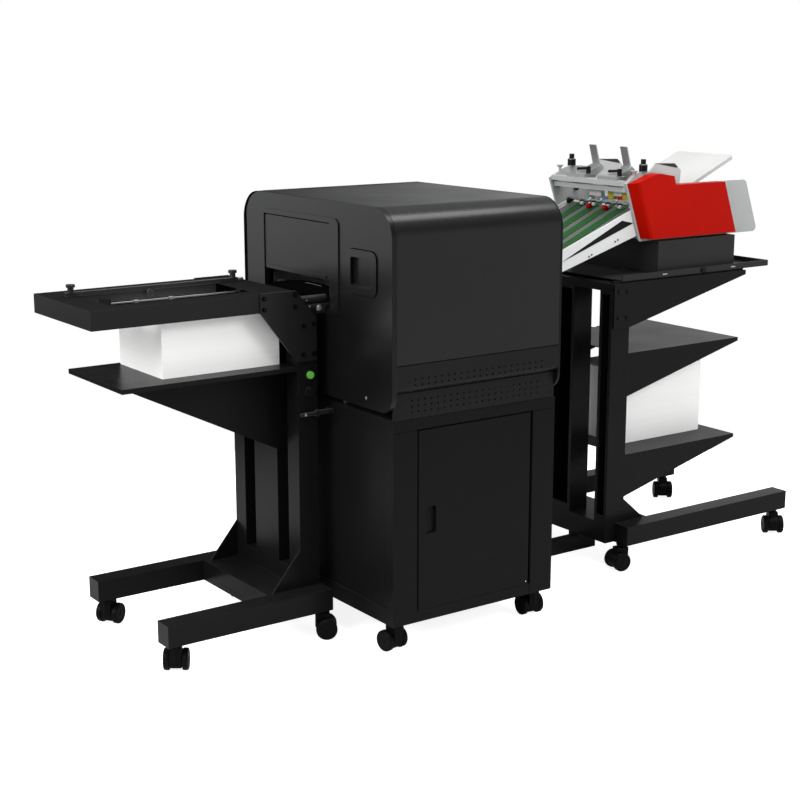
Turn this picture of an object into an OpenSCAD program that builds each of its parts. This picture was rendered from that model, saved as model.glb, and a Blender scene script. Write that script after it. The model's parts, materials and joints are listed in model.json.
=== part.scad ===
// Braille embosser line: a sheet feeder cart, the embosser on its cabinet and a stacker cart.
// Millimetres, +Z up. Work coordinates: X runs from the stacker to the feeder with zero at the
// cabinet's left face, Y runs to the back with zero at the cabinet's front, Z is zero on the floor.

/* [Cabinet] */
// Width of the cabinet
cab_w = 600; // [560:1:640]
// Depth of the cabinet
cab_d = 780; // [740:1:800]
// Underside of the cabinet above the floor
cab_bottom = 97; // [92:1:110]
// Top of the cabinet above the floor
cab_top = 712; // [690:1:730]
// Sheet thickness of the cabinet
cab_wall = 4; // [3:0.5:6]
// Thickness of the door
door_t = 18; // [16:1:22]
// Sheet thickness of the door
door_skin = 3; // [2:0.5:4]
// Width of the front frame beside the door
door_side = 88; // [60:1:110]
// Height of the frame rail below the door
door_rail = 34; // [28:1:45]
// Height of the frame rail above the door
door_head = 35; // [28:1:50]
// Gap all round the door
door_gap = 1.5; // [1:0.1:3]
// Width of the finger pull pressed into the door
pull_w = 36; // [25:1:50]
// Height of the finger pull
pull_h = 85; // [60:1:110]
// Depth of the finger pull
pull_depth = 11; // [6:0.5:12]
// Depth of the recess in the cabinet's side faces
side_recess = 4; // [2:0.5:6]
// Height of the rail left below the side recess
side_rail = 50; // [40:1:70]

/* [Hood] */
// Top of the hood above the floor
hood_top = 1315; // [1290:1:1340]
// Seam where the hood meets the skirt
hood_seam = 874; // [860:1:890]
// Open seam between the skirt and the hood
seam_gap = 3; // [1:0.5:5]
// Lower edge of the skirt
skirt_bottom = 795; // [788:1:803]
// How far the hood stands in front of the cabinet
hood_proud = 18; // [12:1:24]
// How far the hood reaches behind the cabinet
hood_back_over = 20; // [10:1:30]
// Radius of the hood's upper corners
hood_r = 88; // [70:1:100]
// Radius of the end panels' lower corners
panel_low_r = 52; // [35:1:56]
// Radius of the skirt's rolled lower edge
skirt_r = 20; // [14:1:22]
// Sheet thickness of hood, skirt and rear panel
sheet = 3; // [2:0.5:4]
// Thickness of the moulded left end panel
left_panel_t = 16; // [14:1:20]
// Thickness of the right end panel
right_panel_t = 8; // [6:1:12]
// How much narrower the space between the end panels is than the cabinet
hood_inset = 6; // [0:1:12]
// Lower edge of the end panels
panel_bottom = 737; // [730:1:745]
// Gap between the hood and each end panel
hood_gap = 0.6; // [0.4:0.1:1.5]
// Distance of the hood's hinge line in front of the hood's back
hinge_from_back = 95; // [92:1:105]
// Outer radius of the hood hinge's knuckles
knuckle_r = 3.2; // [3:0.1:4]
// Radius of the hood hinge's pin
hinge_pin_r = 1.5; // [1.2:0.1:1.8]

/* [Vents] */
// Columns of vent holes
vent_columns = 21; // [11:1:24]
// Distance between columns of vent holes
vent_pitch = 23.25; // [18:0.25:24]
// Distance between rows of vent holes
vent_row_pitch = 17; // [14:0.5:20]
// Radius of a vent hole
vent_hole_r = 3; // [2:0.25:4]

/* [Output side] */
// Front end of the output opening along Y
slot_front = 296; // [290:1:302]
// Width of the output opening
slot_w = 373; // [350:1:380]
// Lower edge of the output slot
slot_low = 998; // [990:1:1002]
// Height of the output slot below the flap
slot_h = 85; // [70:1:95]
// Height of the output flap
flap_h = 169; // [140:1:175]
// Gap round the output flap
flap_gap = 2; // [1.5:0.5:4]
// Thickness of the output flap
flap_t = 5; // [4:0.5:6]
// Width of the bezel round the output opening
bezel_w = 15; // [10:1:18]
// Extra width of the bezel at the front of the output opening
bezel_front = 32; // [0:1:36]
// Height of the bezels above the panel
bezel_t = 4; // [2:0.5:5]
// Width of the panel pocket
pocket_w = 102; // [80:1:115]
// Height of the panel pocket
pocket_h = 84; // [70:1:95]
// Depth of the panel pocket
pocket_depth = 10; // [6:1:12]

/* [Embossing unit] */
// Radius of the embossing roller and the counter roller
drum_r = 58; // [50:1:58]
// Wall of the hollow rollers
drum_wall = 8; // [5:1:12]
// Height of the paper path
path_z = 1005; // [1003:1:1008]
// Gap between the two rollers at the paper
nip = 4; // [3:0.5:8]
// Thickness of the unit's side plates
unit_plate_t = 10; // [8:1:12]
// Radius of the roller shafts
shaft_r = 10; // [8:0.5:12]
// Radius of the output roller
out_roller_r = 16; // [12:1:18]
// Number of teeth on each roller gear
gear_teeth = 24; // [16:4:28]

/* [Stacker cart] */
// Right end of the cart's column, measured to the left of the cabinet
stack_gap = 54; // [50:1:80]
// Depth of the column along X
column_d = 67; // [60:1:80]
// Width of the stacker column along Y
stack_w = 390; // [370:1:400]
// Front face of the stacker column
stack_front = 315; // [300:1:320]
// Width of the stacker's outer posts
stack_post = 63; // [50:1:70]
// Width of the stacker's middle post
stack_mid_post = 137; // [120:1:140]
// Top of the column
column_top = 1000; // [990:1:1003]
// Length of the tray
tray_len = 635; // [600:1:660]
// Lower edge of the tray
tray_low = 1005; // [1004:1:1010]
// Height of the tray
tray_h = 55; // [45:1:65]
// Sheet thickness of the tray and shelves
tray_sheet = 3; // [2:0.5:5]
// Top of the stacker shelf
shelf_top = 836; // [800:1:850]
// Height of the shelf's folded edge
shelf_edge = 14; // [10:1:20]
// Length of the stacker shelf
shelf_len = 560; // [520:1:580]
// Depth of the shelf brackets at the column
bracket_drop = 260; // [200:1:280]
// Thickness of plates and brackets
plate_t = 6; // [4:0.5:8]
// Length of the stacker cart's legs
stack_leg = 552; // [520:1:600]
// Radius of the guide rod in the tray
rod_r = 2.5; // [2:0.5:4]
// Height of the tray's sliding side guide
guide_bar_h = 12; // [8:1:16]
// Radius of the start button
button_r = 11; // [9:0.5:13]

/* [Feeder cart] */
// Distance from the cabinet to the feeder cart's column
feed_gap = 466; // [450:1:480]
// Depth of the feeder cart's column along X
feed_column_d = 81; // [70:1:85]
// Front face of the feeder cart's column
feed_front = 258; // [250:1:262]
// Width of the feeder cart's column along Y
feed_w = 514; // [500:1:520]
// Width of the feeder's outer posts
feed_post = 59; // [50:1:70]
// Width of the feeder's middle post
feed_mid_post = 140; // [120:1:150]
// Top of the feeder table
table_top = 985; // [975:1:988]
// Length of the table and shelves past the column
table_len = 550; // [500:1:560]
// Top of the middle shelf
mid_shelf = 745; // [720:1:755]
// Top of the bottom shelf
low_shelf = 392; // [380:1:400]
// Depth of the shelf brackets at the feeder column
feed_bracket_drop = 149; // [120:1:150]
// Length of the feeder cart's legs
feed_leg = 797; // [760:1:830]
// Width of a leg on either cart
leg_w = 66; // [60:1:72]
// Height of a leg
leg_h = 66; // [55:1:70]
// Wall of legs, beams and posts
tube_wall = 4; // [3:0.5:5]
// Top of the legs above the floor
leg_top = 155; // [150:1:165]

/* [Sheet feeder] */
// Lean of the feeder head in degrees
lean = 20; // [18:0.5:22]
// Slope of the conveyor and of the support table in degrees
conveyor_lean = 23.8; // [22:0.1:25]
// Length of the sliding carriage
carriage_len = 706; // [680:1:720]
// Height of the carriage's side walls
carriage_h = 20; // [16:1:26]
// Wall of the carriage
carriage_wall = 4; // [3:0.5:5]
// Length of the feeder's base box
base_len = 371; // [350:1:380]
// Height of the feeder's base box above the carriage floor
base_h = 113; // [100:1:120]
// Thickness of each side cover
cover_t = 40; // [34:1:44]
// Wall of the hollow side covers
cover_wall = 4; // [3:0.5:5]
// Height of the side covers' main part
cover_h = 188; // [170:1:195]
// Thickness of the feeder's side frames
frame_t = 8; // [6:0.5:10]
// Width between the feeder's side frames
head_w = 354; // [340:1:360]
// Width of a conveyor belt
belt_w = 38; // [20:1:44]
// Thickness of a conveyor belt
belt_t = 3; // [2:0.5:4]
// Number of conveyor belts
belt_count = 4; // [3:1:5]
// Distance between conveyor belts
belt_pitch = 68; // [60:1:72]
// Length of the conveyor
conveyor_len = 617; // [560:1:625]
// Radius of the conveyor's end roller
belt_roller_r = 15; // [12:1:17]
// Width of the white support table
support_w = 275; // [250:1:290]
// Length of the white support table along its slope
support_len = 300; // [250:1:310]
// Length of the upright straps
strap_len = 78; // [60:1:100]
// Length of the clamp lever arms
lever_len = 46; // [35:1:50]

/* [Casters] */
// Diameter of the caster wheels
wheel_d = 65; // [58:1:70]
// Thickness of one wheel of the pair
wheel_t = 17; // [14:1:20]
// Thickness of the caster body between the wheels
caster_web = 34; // [26:1:36]
// Gap between a wheel and the caster body
wheel_gap = 2; // [1.5:0.5:3]
// Distance from the swivel axis to the axle
caster_trail = 22; // [15:1:25]
// Radius of the caster axle
axle_r = 4; // [3:0.5:5]
// Radius of the caster's swivel stem
stem_r = 6; // [5:0.5:8]

/* [Paper] */
// Length of a sheet of paper
paper_len = 381; // [350:1:385]
// Width of a sheet of paper
paper_w = 275; // [250:1:280]
// Height of the paper stack on the stacker shelf
out_stack_h = 163; // [40:1:165]
// Height of the paper stack on the feeder cart
feed_stack_h = 256; // [40:1:260]

/* [Fits] */
// Radial running clearance of shafts and pins
run = 0.06; // [0.02:0.01:0.1]
// Gap that is left between sliding faces
slide_gap = 0.3; // [0.3:0.05:0.6]

/* [Hidden] */
$fn = 64;
eps = 1;

// Cabinet
door_x0 = door_side;
door_x1 = cab_w - door_side;
door_z0 = cab_bottom + door_rail;
door_z1 = cab_top - door_head;
door_pivot_r = door_t / 2;
door_pivot_x = door_x1 - door_gap - door_pivot_r;
door_pin_r = 4;
door_pin_len = 10;
pull_x = door_x0 + 29;
pull_z = (door_z0 + door_z1) / 2 - pull_h / 2 - 2;
jamb_d = door_t + 2;
hinge_block = door_pin_len + 4;
caster_pad = 24;
caster_pad_h = 16;
cab_stem = 12;
inlet_w = 28;
inlet_h = 22;
inlet_z = cab_bottom + 80;
inlet_clear = 0.5;
inlet_proud = 3;
box_x = cab_w / 2 - 180;
box_w = 360;
box_d = 260;
box_h = 308;
box_sheet = 2;
box_back_gap = 5;
side_stile = 30;
side_head = 12;
catch_y = 308;
catch_z = cab_top - 22;
catch_x = -14;

// Hood
hood_w = cab_w - hood_inset;
hood_front = -hood_proud;
hood_back = cab_d + hood_back_over;
hinge_y = hood_back - hinge_from_back;
hinge_z = hood_top - sheet / 2;
hinge_clear = 0.5;
hood_low = hood_seam + seam_gap;
hood_lip = 12;
skin_below = 400;
skin_x0 = hood_gap;
skin_x1 = hood_w - hood_gap;
deck_t = 4;
deck_top = cab_top + deck_t;
front_wall = 3;
vent_low = cab_top + 2;
vent_top = skirt_bottom - 4;
vent_x = (hood_w - (vent_columns - 1) * vent_pitch) / 2;
vent_mid_z = (vent_low + vent_top) / 2 - 2;
skirt_vent_z = (hood_seam + skirt_bottom) / 2 - 10.5;
screw_in = 13;
screw_r = 4.5;
screw_h = 2;

// Output side
slot_back = slot_front + slot_w;
slot_top = slot_low + slot_h;
flap_top = slot_top + flap_h;
flap_axis_x = -12;
flap_axis_z = flap_top - 6;
flap_barrel_r = 4;
flap_pin_r = 2.5;
flap_pin_len = 8;
bezel_r = 24;
pocket_y = 83;
pocket_z = slot_top;
pocket_rim = 22;
pocket_shift = 6;
infeed_front = 360;
infeed_w = 310;
infeed_low = 925;
infeed_h = 82;

// Embossing unit
unit_y0 = slot_front - 12 - unit_plate_t;
unit_y1 = slot_back + 12;
unit_x0 = 18;
unit_x1 = hood_w - 54;
unit_top = 1180;
drum_x = cab_w / 2;
drum_z = path_z + nip / 2 + drum_r;
counter_z = path_z - nip / 2 - drum_r;
drum_side_gap = 4;
drum_web = 20;
gear_r = (drum_z - counter_z) / 2;
gear_t = 14;
gear_out = 6;
gear_tooth = 9;
out_roller_x = 38;
out_roller_z = path_z + 3 + out_roller_r;
out_shaft_r = 7;
guide_t = 4;
motor_r = 45;
motor_x = drum_x + 120;
motor_rise = 120;
motor_foot_w = 90;
motor_foot_d = 40;
motor_foot_h = 76;
motor_back_gap = 22;
motor_len = hood_back - sheet - motor_back_gap - unit_y1 - unit_plate_t;

// Stacker cart
column_x1 = -stack_gap;
column_x0 = column_x1 - column_d;
stack_back = stack_front + stack_w;
stack_mid = (stack_front + stack_back) / 2;
column_sill = 50;
column_head = 40;
leg_low = leg_top - leg_h;
stack_leg_x1 = -48;
stack_leg_x0 = stack_leg_x1 - stack_leg;
stack_beam_x0 = -237;
gusset_h = 118;
tray_x1 = column_x0 - 7;
tray_x0 = tray_x1 - tray_len;
tray_top = tray_low + tray_h;
tray_open_x0 = tray_x0 + 86;
tray_open_x1 = tray_x1 - 99;
tray_open_y0 = stack_mid - 132;
tray_open_y1 = stack_mid + 132;
rod_y = stack_mid - 40;
rod_z = tray_top - 11;
rod_lug = 12;
guide_y = stack_mid + 80;
guide_lap = 10;
guide_x0 = tray_x0 + 49;
guide_x1 = tray_x1 - 35;
guide_bar_w = 14;
guide_fin = 26;
guide_knob_x = tray_x0 + 303;
guide_knob_r = 10;
guide_knob_len = 14;
guide_knob_drop = 8;
guide_screw_in = 15;
shelf_x1 = column_x0;
shelf_x0 = shelf_x1 - shelf_len;
shelf_y1 = stack_back - 31;
arm_low = column_top - 150;
plate_in = 4;
plate_drop = 23;
button_x = column_x0 + 39;
start_z = 808;
stop_z = 758;
button_stem_r = 6;
button_cap = 9;
button_travel_gap = 2;
latch_x = column_x1 - 6;
latch_pin_r = 4;
latch_t = 6;
latch_y1 = stack_front - 3;

// Feeder cart
feed_left = cab_w + feed_gap;
feed_x1 = feed_left + feed_column_d;
feed_back = feed_front + feed_w;
feed_mid = (feed_front + feed_back) / 2;
feed_leg_x0 = feed_left + 41;
feed_leg_x1 = feed_leg_x0 + feed_leg;
feed_beam_x1 = feed_x1 + 110;
feed_gusset_h = 80;
feed_column_top = table_top - plate_t;
feed_head_rail = 20;
feed_sill = 4;
post_lip = 12;
post_end = 30;
shelf_notch_r = 11;
shelf_notch_x = 264;
shelf_back = feed_back - 52;
shelf_fold = 30;
table_x1 = feed_x1 + table_len;
shelf_fx1 = table_x1 - 18;
rail_h = 6;
rail_w = 16;
beam_front = 395;
beam_w = 50;
beam_low = 30;
beam_h = 45;
beam_x0 = cab_w - 60;

// Sheet feeder
carriage_x0 = feed_left + 44;
carriage_x1 = carriage_x0 + carriage_len;
carriage_low = table_top + rail_h + slide_gap;
carriage_floor = carriage_low + carriage_wall;
base_reach = 563;
base_x1 = carriage_x0 + base_reach;
base_x0 = base_x1 - base_len;
base_top = carriage_floor + base_h;
head_y0 = feed_mid - head_w / 2;
head_y1 = feed_mid + head_w / 2;
base_y0 = head_y0 - frame_t - cover_t;
base_y1 = head_y1 + frame_t + cover_t;
slope = tan(lean);
cover_low = base_top + 9;
cover_top = cover_low + cover_h - 9;
cover_x1 = base_x1 + 4;
cover_x0 = cover_x1 - 453;
hump_h = 40;
cover_in = 30;
cover_back_drop = 6;
hump_in = 55;
hump_flat = 90;
edge_cut = 400;
edge_cut_low = 60;
edge_run = 16;
edge_soft = 6;
hump_x0 = cover_x0 - cover_h * slope + 58;
hump_x1 = hump_x0 + 152;
frame_low = base_top;
frame_right = 146;
frame_hump = 46;
frame_front_in = 22;
frame_corner = 7;
bar_x0 = cover_x0 - cover_h * slope + 8;
bar_w = 30;
bar_h = 16;
bar_z = cover_top + 2;
low_bar_in = 14;
low_bar_drop = 22;
belt_x = cover_x0 + 36;
belt_z = cover_low + 107;
belt_run = conveyor_len / cos(conveyor_lean);
rail_knee = 360;
rail_over = [45, 30, 7];
rail_under = [40, 40, 92];
rail_t = 6;
bed_t = 4;
roller_in = belt_roller_r + 6;
roller_drop = belt_t + belt_roller_r + slide_gap;
roller_shaft_r = 5;
support_x1 = base_x1 + 68;
support_z1 = cover_top + 83;
support_t = 12;
guide_plate_t = 6;
side_guide_in = 34;
side_guide_drop = 60;
side_guide_lean = 12;
side_guide_h = 70;
side_guide_len = 142;
side_bar_x = 40;
side_bar_w = 40;
side_bar_h = 24;
gate_ys = [feed_mid - 78, feed_mid + 78];
lever_off = 46;
gate_half = 24;
strap_lean = 16;
strap_w = 34;
strap_t = 4;
gate_x = bar_x0 + bar_w;
gate_z = bar_z + bar_h;
gate_block = 12;
gate_reach = 92;
gate_rise = 40;
gate_nose = 16;
gate_nose_drop = 14;
gate_root = 50;
gate_lap = 2;
strap_in = 1.7;
strap_drop = 8.6;
lever_x = gate_x + 13;
lever_pin_r = 4;
lever_hub_r = 8;
lever_hub_h = 24;
lever_arm_r = 4.5;
knob_r = 14;
knob_h = 42;
knob_x = hump_x0 + 47;

// Paper
out_stack_gap = 24;
out_stack_shift = 6;
feed_stack_gap = 93;

// Casters: swivel axis x and y, height of the mounting face, heading of the trail
front_leg_y = stack_front - leg_w / 2;
back_leg_y = stack_back + 12 + leg_w / 2;
feed_front_leg_y = feed_front - leg_w / 2;
feed_back_leg_y = feed_back - 8 + leg_w / 2;
casters = [
    [stack_leg_x0 + 36, front_leg_y, leg_low, 55],
    [stack_leg_x1 - 30, front_leg_y, leg_low, 330],
    [stack_leg_x0 + 40, back_leg_y, leg_low, 35],
    [stack_leg_x1 - 30, back_leg_y, leg_low, 235],
    [50, 52, cab_bottom, 98],
    [cab_w - 28, 52, cab_bottom, 82],
    [60, cab_d - 55, cab_bottom, 235],
    [cab_w - 60, cab_d - 55, cab_bottom, 150],
    [feed_leg_x0 + 14, feed_front_leg_y, leg_low, 170],
    [feed_leg_x1 - 36, feed_front_leg_y, leg_low, 235],
    [feed_leg_x1 - 36, feed_back_leg_y, leg_low, 235],
    [feed_leg_x0 + 14, feed_back_leg_y, leg_low, 235]
];
wheel_r = wheel_d / 2;
leg_stem = 22;
caster_plate_r = 24;
caster_hood_low = 12;
caster_plate_t = 4;
caster_neck_r = 12;

// The row's origin: middle of the footprint on the floor
mid_x = (tray_x0 + feed_leg_x1) / 2;
mid_y = (hood_front + feed_back_leg_y + leg_w / 2) / 2;

// Moves a node from the work coordinates to the row's frame
module in_row() translate([-mid_x, -mid_y, 0]) children();

module box(x0, x1, y0, y1, z0, z1) translate([x0, y0, z0]) cube([x1 - x0, y1 - y0, z1 - z0]);

// Extrudes a Y-Z outline along X
module along_x(x0, x1) translate([x0, 0, 0]) rotate([90, 0, 90]) linear_extrude(x1 - x0) children();

// Extrudes an X-Z outline along Y
module along_y(y0, y1) translate([0, y1, 0]) rotate([90, 0, 0]) linear_extrude(y1 - y0) children();

// A round bar along Y
module bar_y(x, z, r, y0, y1) translate([x, y0, z]) rotate([-90, 0, 0]) cylinder(r = r, h = y1 - y0);

// A round bar along Z
module bar_z(x, y, r, z0, z1) translate([x, y, z0]) cylinder(r = r, h = z1 - z0);

// A round bar along X
module bar_x(y, z, r, x0, x1) translate([x0, y, z]) rotate([0, 90, 0]) cylinder(r = r, h = x1 - x0);

// A rectangle with its own radius on each corner: low left, low right, top right, top left
module rounded(x0, x1, y0, y1, r) {
    difference() {
        translate([x0, y0]) square([x1 - x0, y1 - y0]);
        corner_cut(x0, y0, 1, 1, r[0]);
        corner_cut(x1, y0, -1, 1, r[1]);
        corner_cut(x1, y1, -1, -1, r[2]);
        corner_cut(x0, y1, 1, -1, r[3]);
    }
}

module corner_cut(x, y, sx, sy, r) {
    if (r > 0)
        translate([x, y]) mirror([sx < 0 ? 1 : 0, 0]) mirror([0, sy < 0 ? 1 : 0]) difference() {
            translate([-eps, -eps]) square(r + eps);
            translate([r, r]) circle(r);
        }
}

// Sheet carcass with recessed sides, a jamb round the door, caster pads and the inlet's cut-out
module cabinet_shell() color("#26272a") in_row() {
    side = cab_wall + side_recess;
    difference() {
        union() {
            difference() {
                box(0, cab_w, 0, cab_d, cab_bottom, cab_top);
                box(side, cab_w - side, cab_wall, cab_d - cab_wall, cab_bottom + cab_wall, cab_top - cab_wall);
            }
            box(door_x0 - cab_wall, door_x1 + cab_wall, 0, jamb_d, door_z0 - cab_wall, door_z1 + cab_wall);
            for (z = [door_z0 - hinge_block, door_z1])
                box(door_pivot_x - hinge_block, door_x1 + cab_wall, 0, jamb_d, z, z + hinge_block);
            for (k = [4 : 7])
                box(casters[k][0] - caster_pad, casters[k][0] + caster_pad, casters[k][1] - caster_pad,
                    casters[k][1] + caster_pad, cab_bottom, cab_bottom + caster_pad_h);
        }
        box(door_x0, door_x1, -eps, jamb_d + eps, door_z0, door_z1);
        for (x = [-eps, cab_w - side_recess])
            box(x, x + side_recess + eps, side_stile, cab_d - side_stile, cab_bottom + side_rail,
                cab_top - side_head);
        bar_z(door_pivot_x, door_pivot_r, door_pin_r + run, door_z0 - door_pin_len - 1, door_z1 + door_pin_len + 1);
        caster_sockets([4, 5, 6, 7]);
        inlet_block(inlet_clear, cab_d - cab_wall - eps, cab_d + eps);
    }
    latch_catch();
    dock_bracket();
}

// Body of the mains inlet, grown by a clearance
module inlet_block(clear, y0, y1) {
    x = cab_w / 2;
    box(x - inlet_w / 2 - clear, x + inlet_w / 2 + clear, y0, y1, inlet_z - clear, inlet_z + inlet_h + clear);
}

// Keeper for the dock latch on the cabinet's left face
module latch_catch() {
    box(-3, side_recess, catch_y - 8, catch_y + 48, catch_z - 30, catch_z + 16);
    difference() {
        box(catch_x - 6, -3, catch_y + 10, catch_y + 16, catch_z - 10, catch_z + 10);
        bar_y(catch_x, catch_z, 1.5, catch_y + 9, catch_y + 17);
    }
    bar_y(catch_x, catch_z, 3, catch_y - 3, catch_y + 10);
}

// Foot under the cabinet that sits on the docking beam
module dock_bracket() box(beam_x0, cab_w - 10, beam_front - 10, beam_front + beam_w + 10, beam_low + beam_h,
                          cab_bottom);

// Sheet door, open at the back, turning on a rod at its right edge
module front_door() color("#2b2c2f") in_row() {
    x0 = door_x0 + door_gap;
    z0 = door_z0 + door_gap;
    z1 = door_z1 - door_gap;
    difference() {
        union() {
            difference() {
                box(x0, door_pivot_x, 0, door_t, z0, z1);
                box(x0 + door_skin, door_pivot_x - door_pivot_r, door_skin, door_t + eps, z0 + door_skin,
                    z1 - door_skin);
            }
            box(pull_x - door_skin, pull_x + pull_w + door_skin, 0, pull_depth + door_skin, pull_z - door_skin,
                pull_z + pull_h + door_skin);
            bar_z(door_pivot_x, door_pivot_r, door_pivot_r, z0, z1);
            bar_z(door_pivot_x, door_pivot_r, door_pin_r, door_z0 - door_pin_len, door_z1 + door_pin_len);
        }
        along_y(-eps, pull_depth) rounded(pull_x, pull_x + pull_w, pull_z, pull_z + pull_h, [8, 8, 8, 8]);
    }
}

module vent_holes(y0, y1, rows, mid_z) {
    for (column = [0 : vent_columns - 1])
        for (row = [0 : rows - 1])
            bar_y(vent_x + column * vent_pitch, mid_z + (row - (rows - 1) / 2) * vent_row_pitch, vent_hole_r,
                  y0, y1);
}

module vent_panel() color("#2a2b2e") in_row() {
    difference() {
        box(0, hood_w, 0, front_wall, vent_low, vent_top);
        vent_holes(-eps, front_wall + eps, 3, vent_mid_z);
    }
    for (x = [screw_in, hood_w - screw_in])
        for (z = [vent_low + screw_in, vent_top - screw_in])
            bar_y(x, z, screw_r, -screw_h, 0);
}

// Deck on the cabinet, front wall behind the vents and the rear panel with the hood's hinge
module chassis_frame() color("#1f2022") in_row() {
    difference() {
        union() {
            box(0, hood_w, front_wall, cab_d - 20, cab_top, deck_top);
            box(0, hood_w, front_wall, front_wall + sheet, deck_top, hood_seam - 6);
        }
        box(vent_x - 12, hood_w - vent_x + 12, -eps, front_wall + sheet + eps, deck_top + 4, vent_top - 4);
        box(vent_x - 12, hood_w - vent_x + 12, -eps, front_wall + sheet + eps, skirt_bottom + 8, hood_seam - 12);
    }
    difference() {
        union() {
            along_x(0, hood_w) hood_skin(hinge_y + knuckle_r, hood_back, panel_bottom + 3);
            for (span = [[hood_w * 0.22, hood_w * 0.42], [hood_w * 0.6, hood_w * 0.8]])
                bar_x(hinge_y, hinge_z, knuckle_r, span[0] + hinge_clear, span[1] - hinge_clear);
        }
        for (span = [[-eps, hood_w * 0.22], [hood_w * 0.42, hood_w * 0.6], [hood_w * 0.8, hood_w + eps]])
            bar_x(hinge_y, hinge_z, knuckle_r + hinge_clear, span[0], span[1]);
    }
    bar_x(hinge_y, hinge_z, hinge_pin_r, hood_gap + 8, hood_w - hood_gap - 8);
}

// Section of the hood's skin between two Y values; the lower edge of the upright part is z_low
module hood_skin(y0, y1, z_low) {
    intersection() {
        difference() {
            rounded(hood_front, hood_back, z_low - skin_below, hood_top, [0, 0, hood_r, hood_r]);
            rounded(hood_front + sheet, hood_back - sheet, z_low - skin_below - eps, hood_top - sheet,
                    [0, 0, hood_r - sheet, hood_r - sheet]);
        }
        translate([y0, z_low]) square([y1 - y0, hood_top - z_low + eps]);
    }
}

module hood_skirt() color("#2c2d30") in_row() {
    difference() {
        along_x(0, hood_w) {
            translate([hood_front, skirt_bottom + skirt_r]) square([sheet, hood_seam - skirt_bottom - skirt_r]);
            translate([hood_front, hood_seam - 6 - sheet]) square([hood_proud + front_wall, sheet]);
            translate([hood_front + skirt_r, skirt_bottom]) square([front_wall - hood_front - skirt_r, sheet]);
            intersection() {
                difference() {
                    translate([hood_front + skirt_r, skirt_bottom + skirt_r]) circle(skirt_r);
                    translate([hood_front + skirt_r, skirt_bottom + skirt_r]) circle(skirt_r - sheet);
                }
                translate([hood_front, skirt_bottom]) square(skirt_r);
            }
        }
        vent_holes(hood_front - eps, hood_front + sheet + eps, 2, skirt_vent_z);
    }
}

// Lifting hood: front, rounded top edge and roof, with its hinge knuckles
module hood_cover() color("#35363a") in_row() {
    difference() {
        union() {
            along_x(skin_x0, skin_x1) hood_skin(hood_front, hinge_y - knuckle_r, hood_low);
            for (span = [[skin_x0, hood_w * 0.22], [hood_w * 0.42, hood_w * 0.6], [hood_w * 0.8, skin_x1]])
                bar_x(hinge_y, hinge_z, knuckle_r, span[0] + hinge_clear, span[1] - hinge_clear);
            along_x(skin_x0, skin_x1) translate([hood_front + sheet, hood_low]) square([hood_lip, sheet]);
        }
        for (span = [[hood_w * 0.22, hood_w * 0.42], [hood_w * 0.6, hood_w * 0.8]])
            bar_x(hinge_y, hinge_z, knuckle_r + hinge_clear, span[0], span[1]);
        bar_x(hinge_y, hinge_z, hinge_pin_r + run, -eps, hood_w + eps);
    }
}

module panel_outline() {
    rounded(hood_front, hood_back, panel_bottom, hood_top, [panel_low_r, panel_low_r, hood_r, hood_r]);
}

module left_end_panel() color("#36373b") in_row() {
    difference() {
        union() {
            along_x(-left_panel_t, 0) panel_outline();
            along_x(-left_panel_t - bezel_t, -left_panel_t) {
                rounded(slot_front - bezel_w - bezel_front, slot_back + bezel_w, slot_low - bezel_w,
                        flap_top + bezel_w,
                        [bezel_r, bezel_r, bezel_r, bezel_r]);
                rounded(pocket_y - pocket_rim - pocket_shift, pocket_y + pocket_w + pocket_rim - pocket_shift,
                        pocket_z - pocket_rim, pocket_z + pocket_h + pocket_rim, [bezel_r, bezel_r, bezel_r,
                            bezel_r]);
            }
        }
        along_x(-left_panel_t - bezel_t - eps, eps)
            rounded(slot_front, slot_back, slot_low, flap_top, [6, 6, flap_gap, flap_gap]);
        along_x(-left_panel_t - bezel_t - eps, -left_panel_t + pocket_depth)
            rounded(pocket_y, pocket_y + pocket_w, pocket_z, pocket_z + pocket_h, [8, 8, 8, 8]);
        bar_y(flap_axis_x, flap_axis_z, flap_pin_r + run, slot_front - flap_pin_len - 1,
              slot_back + flap_pin_len + 1);
    }
}

module right_end_panel() color("#303135") in_row() {
    difference() {
        along_x(hood_w, hood_w + right_panel_t) panel_outline();
        along_x(hood_w - eps, hood_w + right_panel_t + eps)
            rounded(infeed_front, infeed_front + infeed_w, infeed_low, infeed_low + infeed_h, [8, 8, 8, 8]);
    }
}

// Flap over the output opening, hung on two pins at its upper edge
module output_flap() color("#323338") in_row() {
    x0 = flap_axis_x - flap_t;
    along_x(x0, flap_axis_x)
        rounded(slot_front + flap_gap, slot_back - flap_gap, slot_top, flap_axis_z, [8, 8, 0, 0]);
    bar_y(flap_axis_x, flap_axis_z, flap_barrel_r, slot_front + flap_gap, slot_back - flap_gap);
    bar_y(flap_axis_x, flap_axis_z, flap_pin_r, slot_front - flap_pin_len, slot_back + flap_pin_len);
    box(x0 - 4, x0, slot_front + 20, slot_back - 20, slot_top + 4, slot_top + 12);
}

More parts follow.
